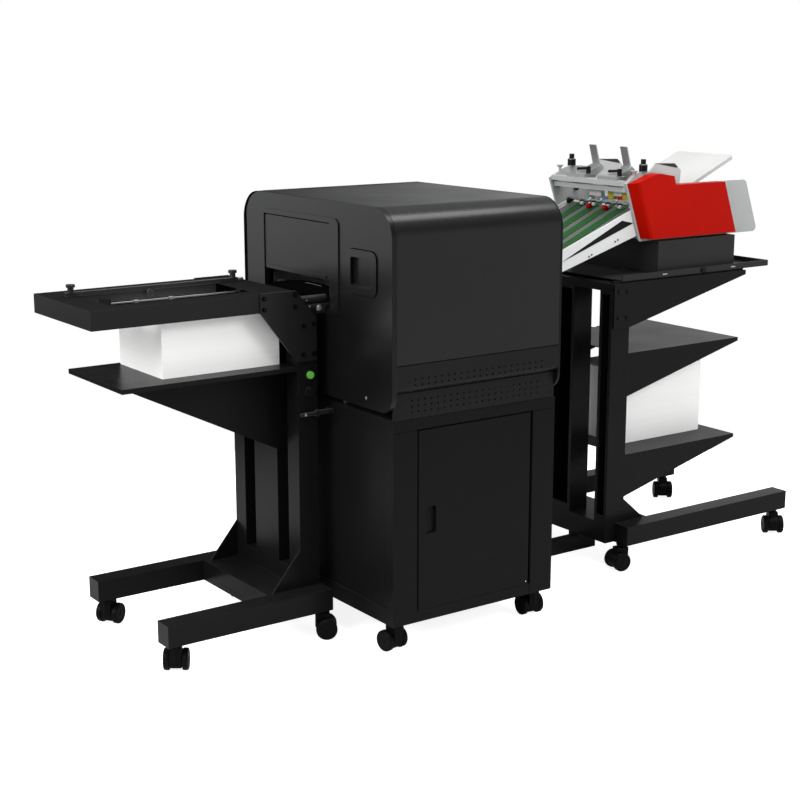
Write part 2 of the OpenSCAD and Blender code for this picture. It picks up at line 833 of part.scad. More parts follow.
// Bearing plates, paper guides and tie bars of the embossing unit
module mechanism_frame() color("#6d7076") in_row() {
    for (y = [unit_y0, unit_y1])
        difference() {
            box(unit_x0, unit_x1, y, y + unit_plate_t, deck_top, unit_top);
            bar_y(drum_x, drum_z, shaft_r + run, y - eps, y + unit_plate_t + eps);
            bar_y(drum_x, counter_z, shaft_r + run, y - eps, y + unit_plate_t + eps);
            bar_y(out_roller_x, out_roller_z, out_shaft_r + run, y - eps, y + unit_plate_t + eps);
        }
    inner0 = unit_y0 + unit_plate_t;
    box(unit_x0, drum_x - drum_r * 0.55, inner0, unit_y1, path_z - 3 - guide_t, path_z - 3);
    box(drum_x + drum_r * 0.55, unit_x1, inner0, unit_y1, path_z - 3 - guide_t, path_z - 3);
    for (x = [unit_x0 + 40, unit_x1 - 40])
        bar_y(x, unit_top - 40, 12, inner0, unit_y1);
    box(unit_x1 - 90, unit_x1 - 10, inner0, unit_y1, deck_top, deck_top + 60);
}

// A roller between the bearing plates with its shaft and a gear outside the front plate
module geared_roller(z, phase) {
    y0 = unit_y0 + unit_plate_t + drum_side_gap;
    y1 = unit_y1 - drum_side_gap;
    web_y = (y0 + y1) / 2;
    difference() {
        bar_y(drum_x, z, drum_r, y0, y1);
        bar_y(drum_x, z, drum_r - drum_wall, y0 - eps, web_y - drum_web / 2);
        bar_y(drum_x, z, drum_r - drum_wall, web_y + drum_web / 2, y1 + eps);
    }
    bar_y(drum_x, z, shaft_r, unit_y0 - gear_out - gear_t, unit_y1 + unit_plate_t);
    along_y(unit_y0 - gear_out - gear_t, unit_y0 - gear_out) translate([drum_x, z]) rotate(phase) gear_outline();
}

module gear_outline() {
    root_r = gear_r - gear_tooth / 2 - 1;
    tip_r = gear_r + gear_tooth / 2 - 1;
    half_root = 360 / gear_teeth * 0.27;
    half_tip = 360 / gear_teeth * 0.13;
    circle(root_r);
    for (k = [0 : gear_teeth - 1])
        rotate(k * 360 / gear_teeth)
            polygon([
                [(root_r - 2) * cos(half_root), -(root_r - 2) * sin(half_root)],
                [tip_r * cos(half_tip), -tip_r * sin(half_tip)],
                [tip_r * cos(half_tip), tip_r * sin(half_tip)],
                [(root_r - 2) * cos(half_root), (root_r - 2) * sin(half_root)]
            ]);
}

module emboss_roller() color("#b9bcc2") in_row() geared_roller(drum_z, 90);

module counter_roller() color("#8f9298") in_row() geared_roller(counter_z, 90 + 180 / gear_teeth);

module output_roller() color("#1c1c1d") in_row() {
    bar_y(out_roller_x, out_roller_z, out_roller_r, unit_y0 + unit_plate_t + drum_side_gap,
          unit_y1 - drum_side_gap);
    bar_y(out_roller_x, out_roller_z, out_shaft_r, unit_y0 - 3, unit_y1 + unit_plate_t + 3);
}

module drive_unit() color("#4a4d52") in_row() {
    y0 = unit_y1 + unit_plate_t;
    bar_y(motor_x, deck_top + motor_rise, motor_r, y0, y0 + motor_len);
    box(motor_x - motor_foot_w / 2, motor_x + motor_foot_w / 2, y0, y0 + motor_foot_d, deck_top,
        deck_top + motor_foot_h);
}

// Power and control box on the cabinet floor with the mains inlet in the cabinet's back
module electronics_box() color("#8b8f94") in_row() {
    floor_z = cab_bottom + cab_wall;
    back = cab_d - cab_wall - box_back_gap;
    difference() {
        box(box_x, box_x + box_w, back - box_d, back, floor_z, floor_z + box_h);
        box(box_x + box_sheet, box_x + box_w - box_sheet, back - box_d + box_sheet, back - box_sheet, floor_z - eps,
            floor_z + box_h - box_sheet);
    }
    difference() {
        inlet_block(0, back, cab_d + inlet_proud);
        inlet_block(-3, cab_d - 12, cab_d + inlet_proud + eps);
    }
}

// Upright post: a lipped channel that is open towards the embosser
module post(x0, x1, y0, y1, z0, z1, side) {
    mouth = side < 0 ? x1 - tube_wall - eps : x0 - eps;
    difference() {
        box(x0, x1, y0, y1, z0, z1);
        box(x0 + tube_wall, x1 - tube_wall, y0 + tube_wall, y1 - tube_wall, z0 - eps, z1 + eps);
        box(mouth, mouth + tube_wall + 2 * eps, y0 + post_lip, y1 - post_lip, z0 + post_end, z1 - post_end);
    }
}

// Folded beam, open below
module channel(x0, x1, y0, y1, z0, z1) {
    difference() {
        box(x0, x1, y0, y1, z0, z1);
        box(x0 + tube_wall, x1 - tube_wall, y0 + tube_wall, y1 - tube_wall, z0 - eps, z1 - tube_wall);
    }
}

// Solid pads inside the legs that take the caster stems
module caster_pads(list, x0, x1) {
    inset = tube_wall / 2;
    for (k = list)
        box(max(casters[k][0] - caster_pad, x0 + inset), min(casters[k][0] + caster_pad, x1 - inset),
            casters[k][1] - leg_w / 2 + inset, casters[k][1] + leg_w / 2 - inset, leg_low, leg_low + leg_stem + 6);
}

// Welded cart frame: two legs, crossbeam, three posts, sill, head and gussets
module cart_frame(x0, x1, y0, y1, outer, middle, top, sill, head, leg_x0, leg_x1, leg_y0, leg_y1, beam_x, side,
                  gusset) {
    mid = (y0 + y1) / 2;
    for (y = [leg_y0, leg_y1])
        channel(leg_x0, leg_x1, y - leg_w / 2, y + leg_w / 2, leg_low, leg_top);
    channel(min(x0, x1, beam_x), max(beam_x, x0, x1), leg_y0 + leg_w / 2, leg_y1 - leg_w / 2, leg_low, leg_top);
    post(x0, x1, y0, y0 + outer, leg_top, top, side);
    post(x0, x1, y1 - outer, y1, leg_top, top, side);
    post(x0, x1, mid - middle / 2, mid + middle / 2, leg_top, top, side);
    for (z = [[leg_top - eps, leg_top + sill], [top - head, top]])
        for (y = [[y0 + outer, mid - middle / 2], [mid + middle / 2, y1 - outer]])
            box(x0, x1, y[0], y[1], z[0], z[1]);
    gusset_x = side < 0 ? x0 : x1;
    gusset_l = abs(beam_x - gusset_x) * 0.85;
    for (y = [y0, y1 - plate_t])
        along_y(y, y + plate_t)
            polygon([[gusset_x, leg_top], [gusset_x + side * gusset_l, leg_top], [gusset_x, leg_top + gusset]]);
}

module stacker_stand() color("#232426") in_row() {
    difference() {
        union() {
            cart_frame(column_x0, column_x1, stack_front, stack_back, stack_post, stack_mid_post, column_top,
                       column_sill, column_head, stack_leg_x0, stack_leg_x1, front_leg_y, back_leg_y,
                       stack_beam_x0, -1, gusset_h);
            caster_pads([0, 1, 2, 3], stack_leg_x0, stack_leg_x1);
        }
        for (z = [start_z, stop_z])
            bar_y(button_x, z, button_stem_r + run, stack_front - eps, stack_front + tube_wall + eps);
        caster_sockets([0, 1, 2, 3]);
    }
    bar_y(latch_x, catch_z, latch_pin_r, latch_y1 - latch_t - 4, stack_front);
}

// Bores in the legs for the caster stems
module caster_sockets(list) {
    for (k = list)
        bar_z(casters[k][0], casters[k][1], stem_r + run, casters[k][2] - eps, casters[k][2] + leg_stem + 3);
}

// Bolted plates that carry the tray on the column, their bolts and the button rings
module stacker_side_plates() color("#1e1f21") in_row() {
    left = column_x0 - 124;
    right = column_x1 - plate_in;
    outline = [[left, tray_low - 1], [left, tray_top + 2], [tray_x1 + 1, tray_top + 2],
               [right, column_top - plate_drop], [right, arm_low], [column_x0 - 5, arm_low]];
    for (y = [stack_front - plate_t, stack_back])
        along_y(y, y + plate_t) polygon(outline);
    bolts = [[left + 11, tray_top - 13], [left + 11, tray_low + 10], [column_x0 - 10, tray_top - 10],
             [column_x0 - 10, tray_low + 10], [column_x0 + 18, column_top - 44], [column_x1 - 14, column_top - 41],
             [column_x0 + 16, arm_low + 21], [column_x1 - 14, arm_low + 21]];
    for (b = bolts) {
        bar_y(b[0], b[1], 6, stack_front - plate_t - 4, stack_front - plate_t);
        bar_y(b[0], b[1], 6, stack_back + plate_t, stack_back + plate_t + 4);
    }
    for (z = [start_z, stop_z])
        difference() {
            bar_y(button_x, z, button_r + 4, stack_front - 5, stack_front);
            bar_y(button_x, z, button_r + 1, stack_front - 5 - eps, stack_front + eps);
        }
}

// Shallow open tray with its guide rod and the rod's clamp
module stacker_tray() color("#222325") in_row() {
    difference() {
        box(tray_x0, tray_x1, stack_front, stack_back, tray_low, tray_top);
        box(tray_x0 + tray_sheet, tray_x1 - tray_sheet, stack_front + tray_sheet, stack_back - tray_sheet,
            tray_low - eps, tray_top - tray_sheet);
        box(tray_open_x0, tray_open_x1, tray_open_y0, tray_open_y1, tray_low, tray_top + eps);
    }
    for (x = [tray_open_x0 - rod_lug, tray_open_x1])
        box(x, x + rod_lug, rod_y - rod_lug, rod_y + rod_lug, rod_z - rod_lug, tray_top - tray_sheet);
    bar_x(rod_y, rod_z, rod_r, tray_open_x0 - rod_lug / 2, tray_open_x1 + rod_lug / 2);
    box(tray_open_x0 + 15, tray_open_x0 + 40, rod_y - rod_lug, rod_y + rod_lug, rod_z - rod_lug, tray_top + 6);
}

module thumb_screw(x, y, z) {
    bar_z(x, y, 9, z, z + 14);
    bar_z(x, y, 13, z + 14, z + 22);
}

// Height-set shelf with its two brackets in the column's slots
module stacker_shelf() color("#2a2b2d") in_row() {
    low = shelf_top - shelf_edge;
    difference() {
        box(shelf_x0, shelf_x1, stack_front, shelf_y1, low, shelf_top);
        box(shelf_x0 + tray_sheet, shelf_x1 - tray_sheet, stack_front + tray_sheet, shelf_y1 - tray_sheet,
            low - eps, shelf_top - tray_sheet);
    }
    for (y = [stack_mid - stack_mid_post / 2 - plate_t, stack_mid + stack_mid_post / 2])
        along_y(y, y + plate_t)
            polygon([[shelf_x0 + 82, shelf_top - tray_sheet], [shelf_x0 + 82, low - 26],
                     [column_x0, shelf_top - bracket_drop - 14], [column_x1 - 10, shelf_top - bracket_drop - 14],
                     [column_x1 - 10, shelf_top - 60], [column_x0, shelf_top - tray_sheet]]);
}

// Side guide that slides across the tray, with its fin, two thumb screws and a knob on the fin
module tray_guide() color("#17181a") in_row() {
    low = tray_top + slide_gap;
    y0 = guide_y - guide_bar_w / 2;
    box(guide_x0, guide_x1, y0, y0 + guide_bar_w, low, low + guide_bar_h);
    box(tray_open_x0 + guide_lap, tray_open_x1 - guide_lap, guide_y - tray_sheet / 2, guide_y + tray_sheet / 2,
        tray_top - guide_fin, low + guide_bar_h / 2);
    for (x = [guide_x0 + guide_screw_in, guide_x1 - guide_screw_in])
        thumb_screw(x, guide_y, low + guide_bar_h);
    bar_y(guide_knob_x, tray_top - guide_knob_drop, guide_knob_r, guide_y - tray_sheet / 2 - guide_knob_len,
          guide_y - tray_sheet / 2);
}

module push_button(z) {
    back = stack_front - button_travel_gap;
    bar_y(button_x, z, button_r, back - button_cap, back);
    bar_y(button_x, z, button_stem_r, back, stack_front + tube_wall + 10);
}

module start_button() color("#4fb04a") in_row() push_button(start_z);

module stop_button() color("#121213") in_row() push_button(stop_z);

// Hook lever on the column's front that holds the cart to the cabinet
module dock_latch() color("#3a3b3e") in_row() {
    along_y(latch_y1 - latch_t, latch_y1) difference() {
        union() {
            translate([column_x0 + 8, catch_z - 5]) square([latch_x - column_x0 - 8, 10]);
            translate([latch_x, catch_z - 5]) square([catch_x + 10 - latch_x, 13]);
            translate([latch_x, catch_z]) circle(10);
            translate([column_x0 + 8, catch_z]) circle(5);
        }
        translate([latch_x, catch_z]) circle(latch_pin_r + run);
        translate([catch_x - 5, catch_z - 6]) square([9, 6]);
        translate([catch_x - 0.5, catch_z]) circle(4.5);
    }
}

module feeder_stand() color("#232426") in_row() {
    difference() {
        union() {
            cart_frame(feed_left, feed_x1, feed_front, feed_back, feed_post, feed_mid_post, feed_column_top,
                       feed_sill, feed_head_rail, feed_leg_x0, feed_leg_x1, feed_front_leg_y, feed_back_leg_y,
                       feed_beam_x1, 1, feed_gusset_h);
            caster_pads([8, 9, 10, 11], feed_leg_x0, feed_leg_x1);
        }
        caster_sockets([8, 9, 10, 11]);
    }
    beam_top = beam_low + beam_h;
    channel(beam_x0 - 20, feed_x1, beam_front, beam_front + beam_w, beam_low, beam_top);
    box(feed_left, feed_left + beam_w, beam_front, beam_front + beam_w, beam_top - tube_wall, leg_low + beam_w / 2);
}

// A folded shelf: top sheet and two tapering side flanges
module folded_shelf(top, x1, drop, tip) {
    difference() {
        union() {
            box(feed_x1, x1, feed_front, shelf_back, top - tray_sheet, top);
            for (y = [feed_front, shelf_back - tray_sheet])
                along_y(y, y + tray_sheet)
                    polygon([[feed_x1, top - drop], [x1, top - tip], [x1, top], [feed_x1, top]]);
        }
        bar_z(feed_x1 + shelf_notch_x, shelf_back, shelf_notch_r, top - shelf_fold, top + eps);
    }
}

// Two shelves, the feeder table on its bolted brackets and the two slide rails
module feeder_shelves() color("#2a2b2d") in_row() {
    folded_shelf(mid_shelf, shelf_fx1, feed_bracket_drop, 12);
    folded_shelf(low_shelf, shelf_fx1, feed_bracket_drop, 12);
    box(feed_left, table_x1, feed_front, feed_back, table_top - plate_t, table_top);
    for (y = [feed_front - plate_t, feed_back])
        along_y(y, y + plate_t)
            polygon([[feed_left + 5, table_top - feed_bracket_drop], [feed_x1, table_top - feed_bracket_drop],
                     [table_x1, table_top - 15], [table_x1, table_top], [feed_left + 5, table_top]]);
    for (x = [feed_left + 27, feed_x1 - 16])
        for (z = [table_top - 27, table_top - 116])
            bar_y(x, z, 7, feed_front - plate_t - 4, feed_front - plate_t);
    for (y = [feed_front + 8, feed_back - 8 - rail_w])
        box(feed_left + 14, table_x1, y, y + rail_w, table_top, table_top + rail_h);
}

// Sliding carriage tray with the feeder's base box on it
module feeder_carriage() color("#242527") in_row() {
    difference() {
        box(carriage_x0, carriage_x1, feed_front, feed_back, carriage_low, carriage_low + carriage_h);
        box(carriage_x0 - eps, carriage_x1 - carriage_wall, feed_front + carriage_wall, feed_back - carriage_wall,
            carriage_floor, carriage_low + carriage_h + eps);
    }
    difference() {
        box(base_x0, base_x1, base_y0, base_y1, carriage_floor, base_top);
        box(base_x0 + carriage_wall, base_x1 - carriage_wall, base_y0 + carriage_wall, base_y1 - carriage_wall,
            carriage_floor - eps, base_top - carriage_wall);
    }
}

// Side outline of a red cover: raised head on the left, flat top, both ends leaning.
// Side 1 is the lower back cover.
module cover_outline(side) {
    left = cover_x0 + cover_in;
    hump_left = hump_x0 + hump_in;
    hump_top = cover_top + hump_h - side * cover_back_drop;
    polygon([[left, cover_low], [left - cover_h * slope, cover_low + cover_h - side * cover_back_drop],
             [hump_left, hump_top - 4], [hump_left + 20, hump_top], [hump_x0 + hump_flat, hump_top],
             [hump_x1, hump_top - 10], [hump_x1 + 9, cover_top],
             [cover_x1 - (cover_top - cover_low) * slope, cover_top], [cover_x1, cover_low]]);
}

module feeder_covers() color("#b01a0e") in_row() {
    for (side = [0, 1]) {
        y0 = side == 0 ? base_y0 : head_y1 + frame_t;
        difference() {
            along_y(y0, y0 + cover_t) cover_outline(side);
            translate([cover_x0 + cover_in, side == 0 ? y0 : y0 + cover_t, cover_low])
                mirror([0, side, 0]) rotate([0, -lean, 0]) leading_edge();
            along_y(side == 0 ? y0 + cover_wall : y0 - eps,
                    side == 0 ? y0 + cover_t + eps : y0 + cover_t - cover_wall)
                cover_pocket(side);
        }
    }
}

// Hollow of a cover, open to the side frame
module cover_pocket(side) {
    intersection() {
        translate([cover_t * 0.7, cover_wall]) cover_outline(side);
        translate([-cover_wall, cover_wall]) cover_outline(side);
        translate([cover_t * 0.7, -cover_wall]) cover_outline(side);
        translate([-cover_wall, -cover_wall]) cover_outline(side);
    }
}

// Removes the square leading edge of a cover, leaving a face that leans back with a softened corner
module leading_edge() {
    translate([0, 0, -edge_cut_low]) linear_extrude(edge_cut)
        polygon([[-20, -20], [edge_run + edge_soft, -20], [edge_run + edge_soft, 0],
                 [edge_run - edge_soft / 3, edge_soft], [0, cover_t - 3], [-20, cover_t - 3]]);
}

// Inner side frames of the feeder head and the two cross bars between them
module feeder_side_frames() color("#c4c6c8") in_row() {
    right_low = cover_x1 + frame_right;
    right_top = right_low - cover_h * slope + 6;
    hump_top = cover_top + frame_hump;
    for (side = [0, 1]) {
        y = side == 0 ? head_y0 - frame_t : head_y1;
        left = cover_x0 + (1 - side) * frame_front_in;
        along_y(y, y + frame_t)
            polygon([[left + 6, frame_low], [left, cover_low], [left - cover_h * slope + 2, cover_low + cover_h],
                     [hump_x0 + 12, hump_top - 6], [knob_x - knob_r, hump_top], [hump_x0 + hump_flat, hump_top],
                     [hump_x1 + 2, hump_top - 10], [hump_x1 + 14, cover_top],
                     [right_top - frame_corner, cover_top - 2], [right_top + 2, cover_top - 2 - frame_corner],
                     [right_low, frame_low + 16], [right_low - 4, frame_low + 5], [right_low - 14, frame_low]]);
    }
    box(bar_x0, bar_x0 + bar_w, head_y0, head_y1, bar_z, bar_z + bar_h);
    box(bar_x0 + low_bar_in, bar_x0 + low_bar_in + bar_w, head_y0, head_y1, bar_z - low_bar_drop,
        bar_z - low_bar_drop + bar_h);
}

// Height of the belts' upper face at x
function slope_z(x) = belt_z + tan(conveyor_lean) * (x - belt_x);

// Places children on the conveyor's slope: local X runs down to the embosser, local Z is square to it
module on_slope() translate([belt_x, 0, belt_z]) rotate([0, 180 - conveyor_lean, 0]) mirror([0, 0, 1]) children();

// Side view of a conveyor rail
module rail_outline() {
    low_x = belt_x - conveyor_len;
    knee_x = belt_x - rail_knee;
    polygon([[low_x, slope_z(low_x) + rail_over[0]], [knee_x, slope_z(knee_x) + rail_over[1]],
             [belt_x, belt_z + rail_over[2]], [belt_x, belt_z - rail_under[2]],
             [knee_x, slope_z(knee_x) - rail_under[1]], [low_x, slope_z(low_x) - rail_under[0]]]);
}

module conveyor_frame() color("#d3d6d8") in_row() {
    difference() {
        union() {
            for (y = [head_y0, head_y1 - rail_t])
                along_y(y, y + rail_t) rail_outline();
            on_slope() box(0, belt_run - 2 * roller_in, head_y0 + 1, head_y1 - 1, -belt_t - bed_t, -belt_t);
        }
        on_slope() for (y = [head_y0, head_y1 - rail_t])
            bar_y(belt_run - roller_in, -roller_drop, roller_shaft_r + run, y - eps, y + rail_t + eps);
    }
}

function belt_y(k) = feed_mid + (k - (belt_count - 1) / 2) * belt_pitch;

module conveyor_belts() color("#2f7d36") in_row() on_slope()
    for (k = [0 : belt_count - 1])
        box(0, belt_run - roller_in, belt_y(k) - belt_w / 2, belt_y(k) + belt_w / 2, -belt_t, 0);

module belt_roller() color("#9a9da1") in_row() on_slope() {
    bar_y(belt_run - roller_in, -roller_drop, belt_roller_r, head_y0 + rail_t + 2, head_y1 - rail_t - 2);
    bar_y(belt_run - roller_in, -roller_drop, roller_shaft_r, head_y0, head_y1);
}

// White sloping support for the waiting sheets, its cross tubes and the two sheet guides
module support_table() color("#eceae6") in_row() {
    y0 = feed_mid - support_w / 2;
    y1 = feed_mid + support_w / 2;
    translate([support_x1, 0, support_z1]) rotate([0, 180 - conveyor_lean, 0]) mirror([0, 0, 1]) {
        translate([0, 0, -support_t]) linear_extrude(support_t) rounded(0, support_len, y0, y1, [14, 14, 14, 14]);
        box(support_len - 90, support_len - 62, head_y0, head_y1, -support_t - 22, -support_t);
    }
    guide_x = hump_x1 - side_guide_in;
    guide_z = cover_top - side_guide_drop;
    box(guide_x + side_bar_x, guide_x + side_bar_x + side_bar_w, head_y0, head_y1, guide_z - side_bar_h, guide_z);
    for (y = [y0 - guide_plate_t - 3, y1 + 3])
        along_y(y, y + guide_plate_t)
            polygon([[guide_x + side_guide_lean, guide_z], [guide_x, cover_top + side_guide_h - 22],
                     [guide_x + 20, cover_top + side_guide_h],
                     [guide_x + side_guide_len - 30, cover_top + side_guide_h - 4],
                     [guide_x + side_guide_len, cover_top + side_guide_h - 30],
                     [guide_x + side_guide_len - 10, guide_z]]);
}

// Sheet gate: two arms on the cross bar with upright straps, lever pins and the two side knobs
module feed_gate() color("#a9acae") in_row() {
    for (y = gate_ys) {
        along_y(y - gate_half, y + gate_half)
            polygon([[gate_x, bar_z + gate_lap], [gate_x, gate_z + gate_lap], [gate_x + gate_reach,
                gate_z + gate_rise],
                     [gate_x + gate_reach + gate_nose, gate_z + gate_rise - gate_nose_drop],
                     [gate_x + gate_root, bar_z + gate_lap]]);
        translate([gate_x + gate_reach + strap_in, y, gate_z + gate_rise - strap_drop]) rotate([0, -strap_lean, 0])
            box(-strap_t / 2, strap_t / 2, -strap_w / 2, strap_w / 2, 0, strap_len);
        box(gate_x - 25, gate_x + 25, y - lever_off - gate_half, y + gate_half, gate_z, gate_z + gate_block);
        bar_z(lever_x, y - lever_off, lever_pin_r, gate_z, gate_z + gate_block + lever_hub_h + 4);
    }
    for (y = [head_y0 - frame_t / 2, head_y1 + frame_t / 2])
        side_knob(knob_x, y, cover_top + frame_hump);
}

module side_knob(x, y, z) {
    bar_z(x, y, knob_r, z, z + knob_h * 0.58);
    bar_z(x, y, knob_r * 0.6, z + knob_h * 0.58, z + knob_h);
}

module clamp_lever(y) {
    z = gate_z + gate_block + slide_gap;
    arm_z = z + lever_hub_h - lever_arm_r - 1;
    difference() {
        union() {
            bar_z(lever_x, y, lever_hub_r, z, z + lever_hub_h);
            bar_x(y, arm_z, lever_arm_r, lever_x - lever_len, lever_x);
            translate([lever_x - lever_len, y, arm_z]) sphere(lever_arm_r + 1);
        }
        bar_z(lever_x, y, lever_pin_r + run, z - eps, z + lever_hub_h + eps);
    }
}

module clamp_lever_front() color("#121213") in_row() clamp_lever(gate_ys[0] - lever_off);

module clamp_lever_back() color("#121213") in_row() clamp_lever(gate_ys[1] - lever_off);

module paper_stacks() color("#f1efea") in_row() {
    out_x1 = column_x0 - out_stack_gap;
    out_y0 = stack_mid + out_stack_shift - paper_w / 2;
    box(out_x1 - paper_len, out_x1, out_y0, out_y0 + paper_w, shelf_top, shelf_top + out_stack_h);
    feed_x0 = feed_x1 + feed_stack_gap;
    feed_y0 = feed_mid - paper_w / 2;
    box(feed_x0, feed_x0 + paper_len, feed_y0, feed_y0 + paper_w, low_shelf, low_shelf + feed_stack_h);
}

// Swivel body of a twin-wheel caster: stem, plate, neck and round web between the wheels
module caster_fork(k) color("#1b1c1d") in_row() {
    c = casters[k];
    stem = k > 3 && k < 8 ? cab_stem : leg_stem;
    plate_top = c[2] - slide_gap;
    plate_low = plate_top - caster_plate_t;
    translate([c[0], c[1], 0]) {
        cylinder_between(stem_r, plate_low + 1, c[2] + stem);
        cylinder_between(caster_plate_r, plate_low, plate_top);
        rotate([0, 0, c[3]]) difference() {
            union() {
                cylinder_between(caster_neck_r, wheel_r, plate_low + 1);
                along_y(-caster_web / 2, caster_web / 2) {
                    intersection() {
                        translate([caster_trail, wheel_r]) circle(wheel_r - 2);
                        translate([-wheel_d, caster_hood_low]) square([2 * wheel_d, 2 * wheel_d]);
                    }
                    translate([-10, wheel_r]) square([caster_trail + 20, plate_low - 6 - wheel_r]);
                }
            }
            bar_y(caster_trail, wheel_r, axle_r + run, -caster_web, caster_web);
        }
    }
}

module cylinder_between(r, z0, z1) translate([0, 0, z0]) cylinder(r = r, h = z1 - z0);

// Pair of wheels on their axle
module caster_wheel(k) color("#101011") in_row() {
    c = casters[k];
    inner = caster_web / 2 + wheel_gap;
    translate([c[0], c[1], 0]) rotate([0, 0, c[3]]) translate([caster_trail, 0, wheel_r]) rotate([-90, 0, 0]) {
        translate([0, 0, -inner - 1]) cylinder(r = axle_r, h = 2 * inner + 2);
        for (side = [0, 1])
            mirror([0, 0, side]) translate([0, 0, inner]) rotate_extrude() rounded(0, wheel_r, 0, wheel_t, [0,
                3, 5, 0]);
    }
}

cabinet_shell();
front_door();
vent_panel();
chassis_frame();
hood_skirt();
hood_cover();
left_end_panel();
right_end_panel();
output_flap();
mechanism_frame();
emboss_roller();
counter_roller();
output_roller();
drive_unit();
electronics_box();
stacker_stand();
stacker_side_plates();
stacker_tray();
stacker_shelf();
tray_guide();
start_button();
stop_button();
dock_latch();
feeder_stand();
feeder_shelves();
feeder_carriage();
feeder_covers();
feeder_side_frames();
conveyor_frame();
conveyor_belts();
belt_roller();
support_table();
feed_gate();
clamp_lever_front();
clamp_lever_back();
paper_stacks();
for (k = [1 : 12]) {
    caster_fork(k - 1);
    caster_wheel(k - 1);
}
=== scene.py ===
# %% [markdown]
# # A braille embosser between its sheet feeder and its stacker
#
# The machine stands on three units that dock together: a cabinet under the embosser, a cart with the
# feeder on its right and a cart with the stacker on its left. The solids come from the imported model, so
# this lesson only dresses them: it gives every solid a finish and adds the small pieces that make it look
# like the real thing.

# %% Load the solids
import json
import math

import bmesh
import bpy
from mathutils import Matrix, Vector


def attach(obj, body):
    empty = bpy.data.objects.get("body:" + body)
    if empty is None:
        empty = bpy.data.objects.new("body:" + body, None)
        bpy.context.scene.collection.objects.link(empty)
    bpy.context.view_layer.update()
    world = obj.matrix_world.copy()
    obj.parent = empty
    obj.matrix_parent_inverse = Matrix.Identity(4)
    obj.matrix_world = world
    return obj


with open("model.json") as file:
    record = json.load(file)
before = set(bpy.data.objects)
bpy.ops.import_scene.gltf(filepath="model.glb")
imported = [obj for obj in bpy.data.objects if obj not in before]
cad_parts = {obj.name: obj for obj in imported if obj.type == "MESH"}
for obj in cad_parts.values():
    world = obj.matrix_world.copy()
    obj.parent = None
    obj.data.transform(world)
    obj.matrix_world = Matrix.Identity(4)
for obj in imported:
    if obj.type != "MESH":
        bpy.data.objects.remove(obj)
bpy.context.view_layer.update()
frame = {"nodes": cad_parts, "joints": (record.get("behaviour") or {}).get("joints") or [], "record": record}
nodes = frame["nodes"]

# %% [markdown]
# Sizes on a machine like this are read in millimetres from one corner of the cabinet. This helper turns
# such a point into the frame's metres, so that the numbers below stay the ones a maker would measure.

# %% Points in millimetres
MM = 1000
CORNER = Vector((-0.5705, -0.406, 0.0))
RIGHT, LEFT, BACK, FRONT = (1, 0, 0), (-1, 0, 0), (0, 1, 0), (0, -1, 0)
UP, DOWN = (0, 0, 1), (0, 0, -1)


def spot(x, y, z):
    return CORNER + Vector((x, y, z)) / MM


print("cabinet's front left corner:", [round(c, 3) for c in spot(0, 0, 0)])

# %% [markdown]
# The camera repeats the photograph: a long lens, a little above the hood, looking down by twelve and a
# half degrees. A long lens keeps upright edges almost parallel, which is why the machine looks calm in
# the picture.

# %% Camera
CAMERA_SPOT, LENS, YAW, PITCH = (-2436, -3486, 1727), 69.64, 35.202, 12.577
scene = bpy.context.scene
lens = bpy.data.cameras.new("camera")
lens.sensor_width = 36
lens.lens = LENS
lens.clip_end = 60
camera = bpy.data.objects.new("camera", lens)
camera.location = spot(*CAMERA_SPOT)
camera.rotation_euler = (math.radians(90 - PITCH), 0, math.radians(-YAW))
scene.collection.objects.link(camera)
scene.camera = camera
print("camera at", [round(c, 2) for c in camera.location])

# %% [markdown]
# Light and finishes are both built from nodes. These helpers only save typing: one fills a node's sockets
# with values or links, one adds a node, one mixes two colours, one does a sum, and two start a group or a
# material.

# %% Node helpers
FLOAT, VECTOR = "NodeSocketFloat", "NodeSocketVector"


def fill(tree, node, inputs):
    for key, value in inputs.items():
        if isinstance(value, bpy.types.NodeSocket):
            tree.links.new(value, node.inputs[key])
        else:
            node.inputs[key].default_value = value


def put(tree, kind, inputs=None, **settings):
    made = tree.nodes.new(kind)
    for key, value in settings.items():
        setattr(made, key, value)
    fill(tree, made, inputs or {})
    return made


def mix_colour(tree, amount, first, second):
    made = put(tree, "ShaderNodeMix", {0: amount}, data_type="RGBA")
    for index, value in ((6, first), (7, second)):
        fill(tree, made, {index: value if isinstance(value, bpy.types.NodeSocket) else (*value, 1)})
    return made.outputs[2]


def sums(tree, way, first, second=0.0, clamp=False):
    return put(tree, "ShaderNodeMath", {0: first, 1: second}, operation=way, use_clamp=clamp).outputs[0]


def new_group(name, takes, gives):
    tree = bpy.data.node_groups.new(name, "ShaderNodeTree")
    for socket, kind in takes:
        tree.interface.new_socket(socket, in_out="INPUT", socket_type=kind)
    for socket, kind in gives:
        tree.interface.new_socket(socket, in_out="OUTPUT", socket_type=kind)
    return tree, put(tree, "NodeGroupInput"), put(tree, "NodeGroupOutput")


def new_material(name):
    made = bpy.data.materials.new(name)
    made.use_nodes = True
    return made, made.node_tree, made.node_tree.nodes["Principled BSDF"]


print("node helpers ready")

# %% [markdown]
# Black paint shows the room more than itself. The light is one large soft panel over the left shoulder, a
# second one above the hood for the bright line on its rounded edge, and a front one that fills in but
# isn't mirrored. The room is dark apart from its ceiling and three bright walls. The roof and the shelf
# tops mirror the one behind on the right, the fronts the one before them, and the end panel the left one,
# which ends above the floor, so that the panel darkens downwards. A soft fill reaches only what is matt,
# so the paper stays white in the shade.

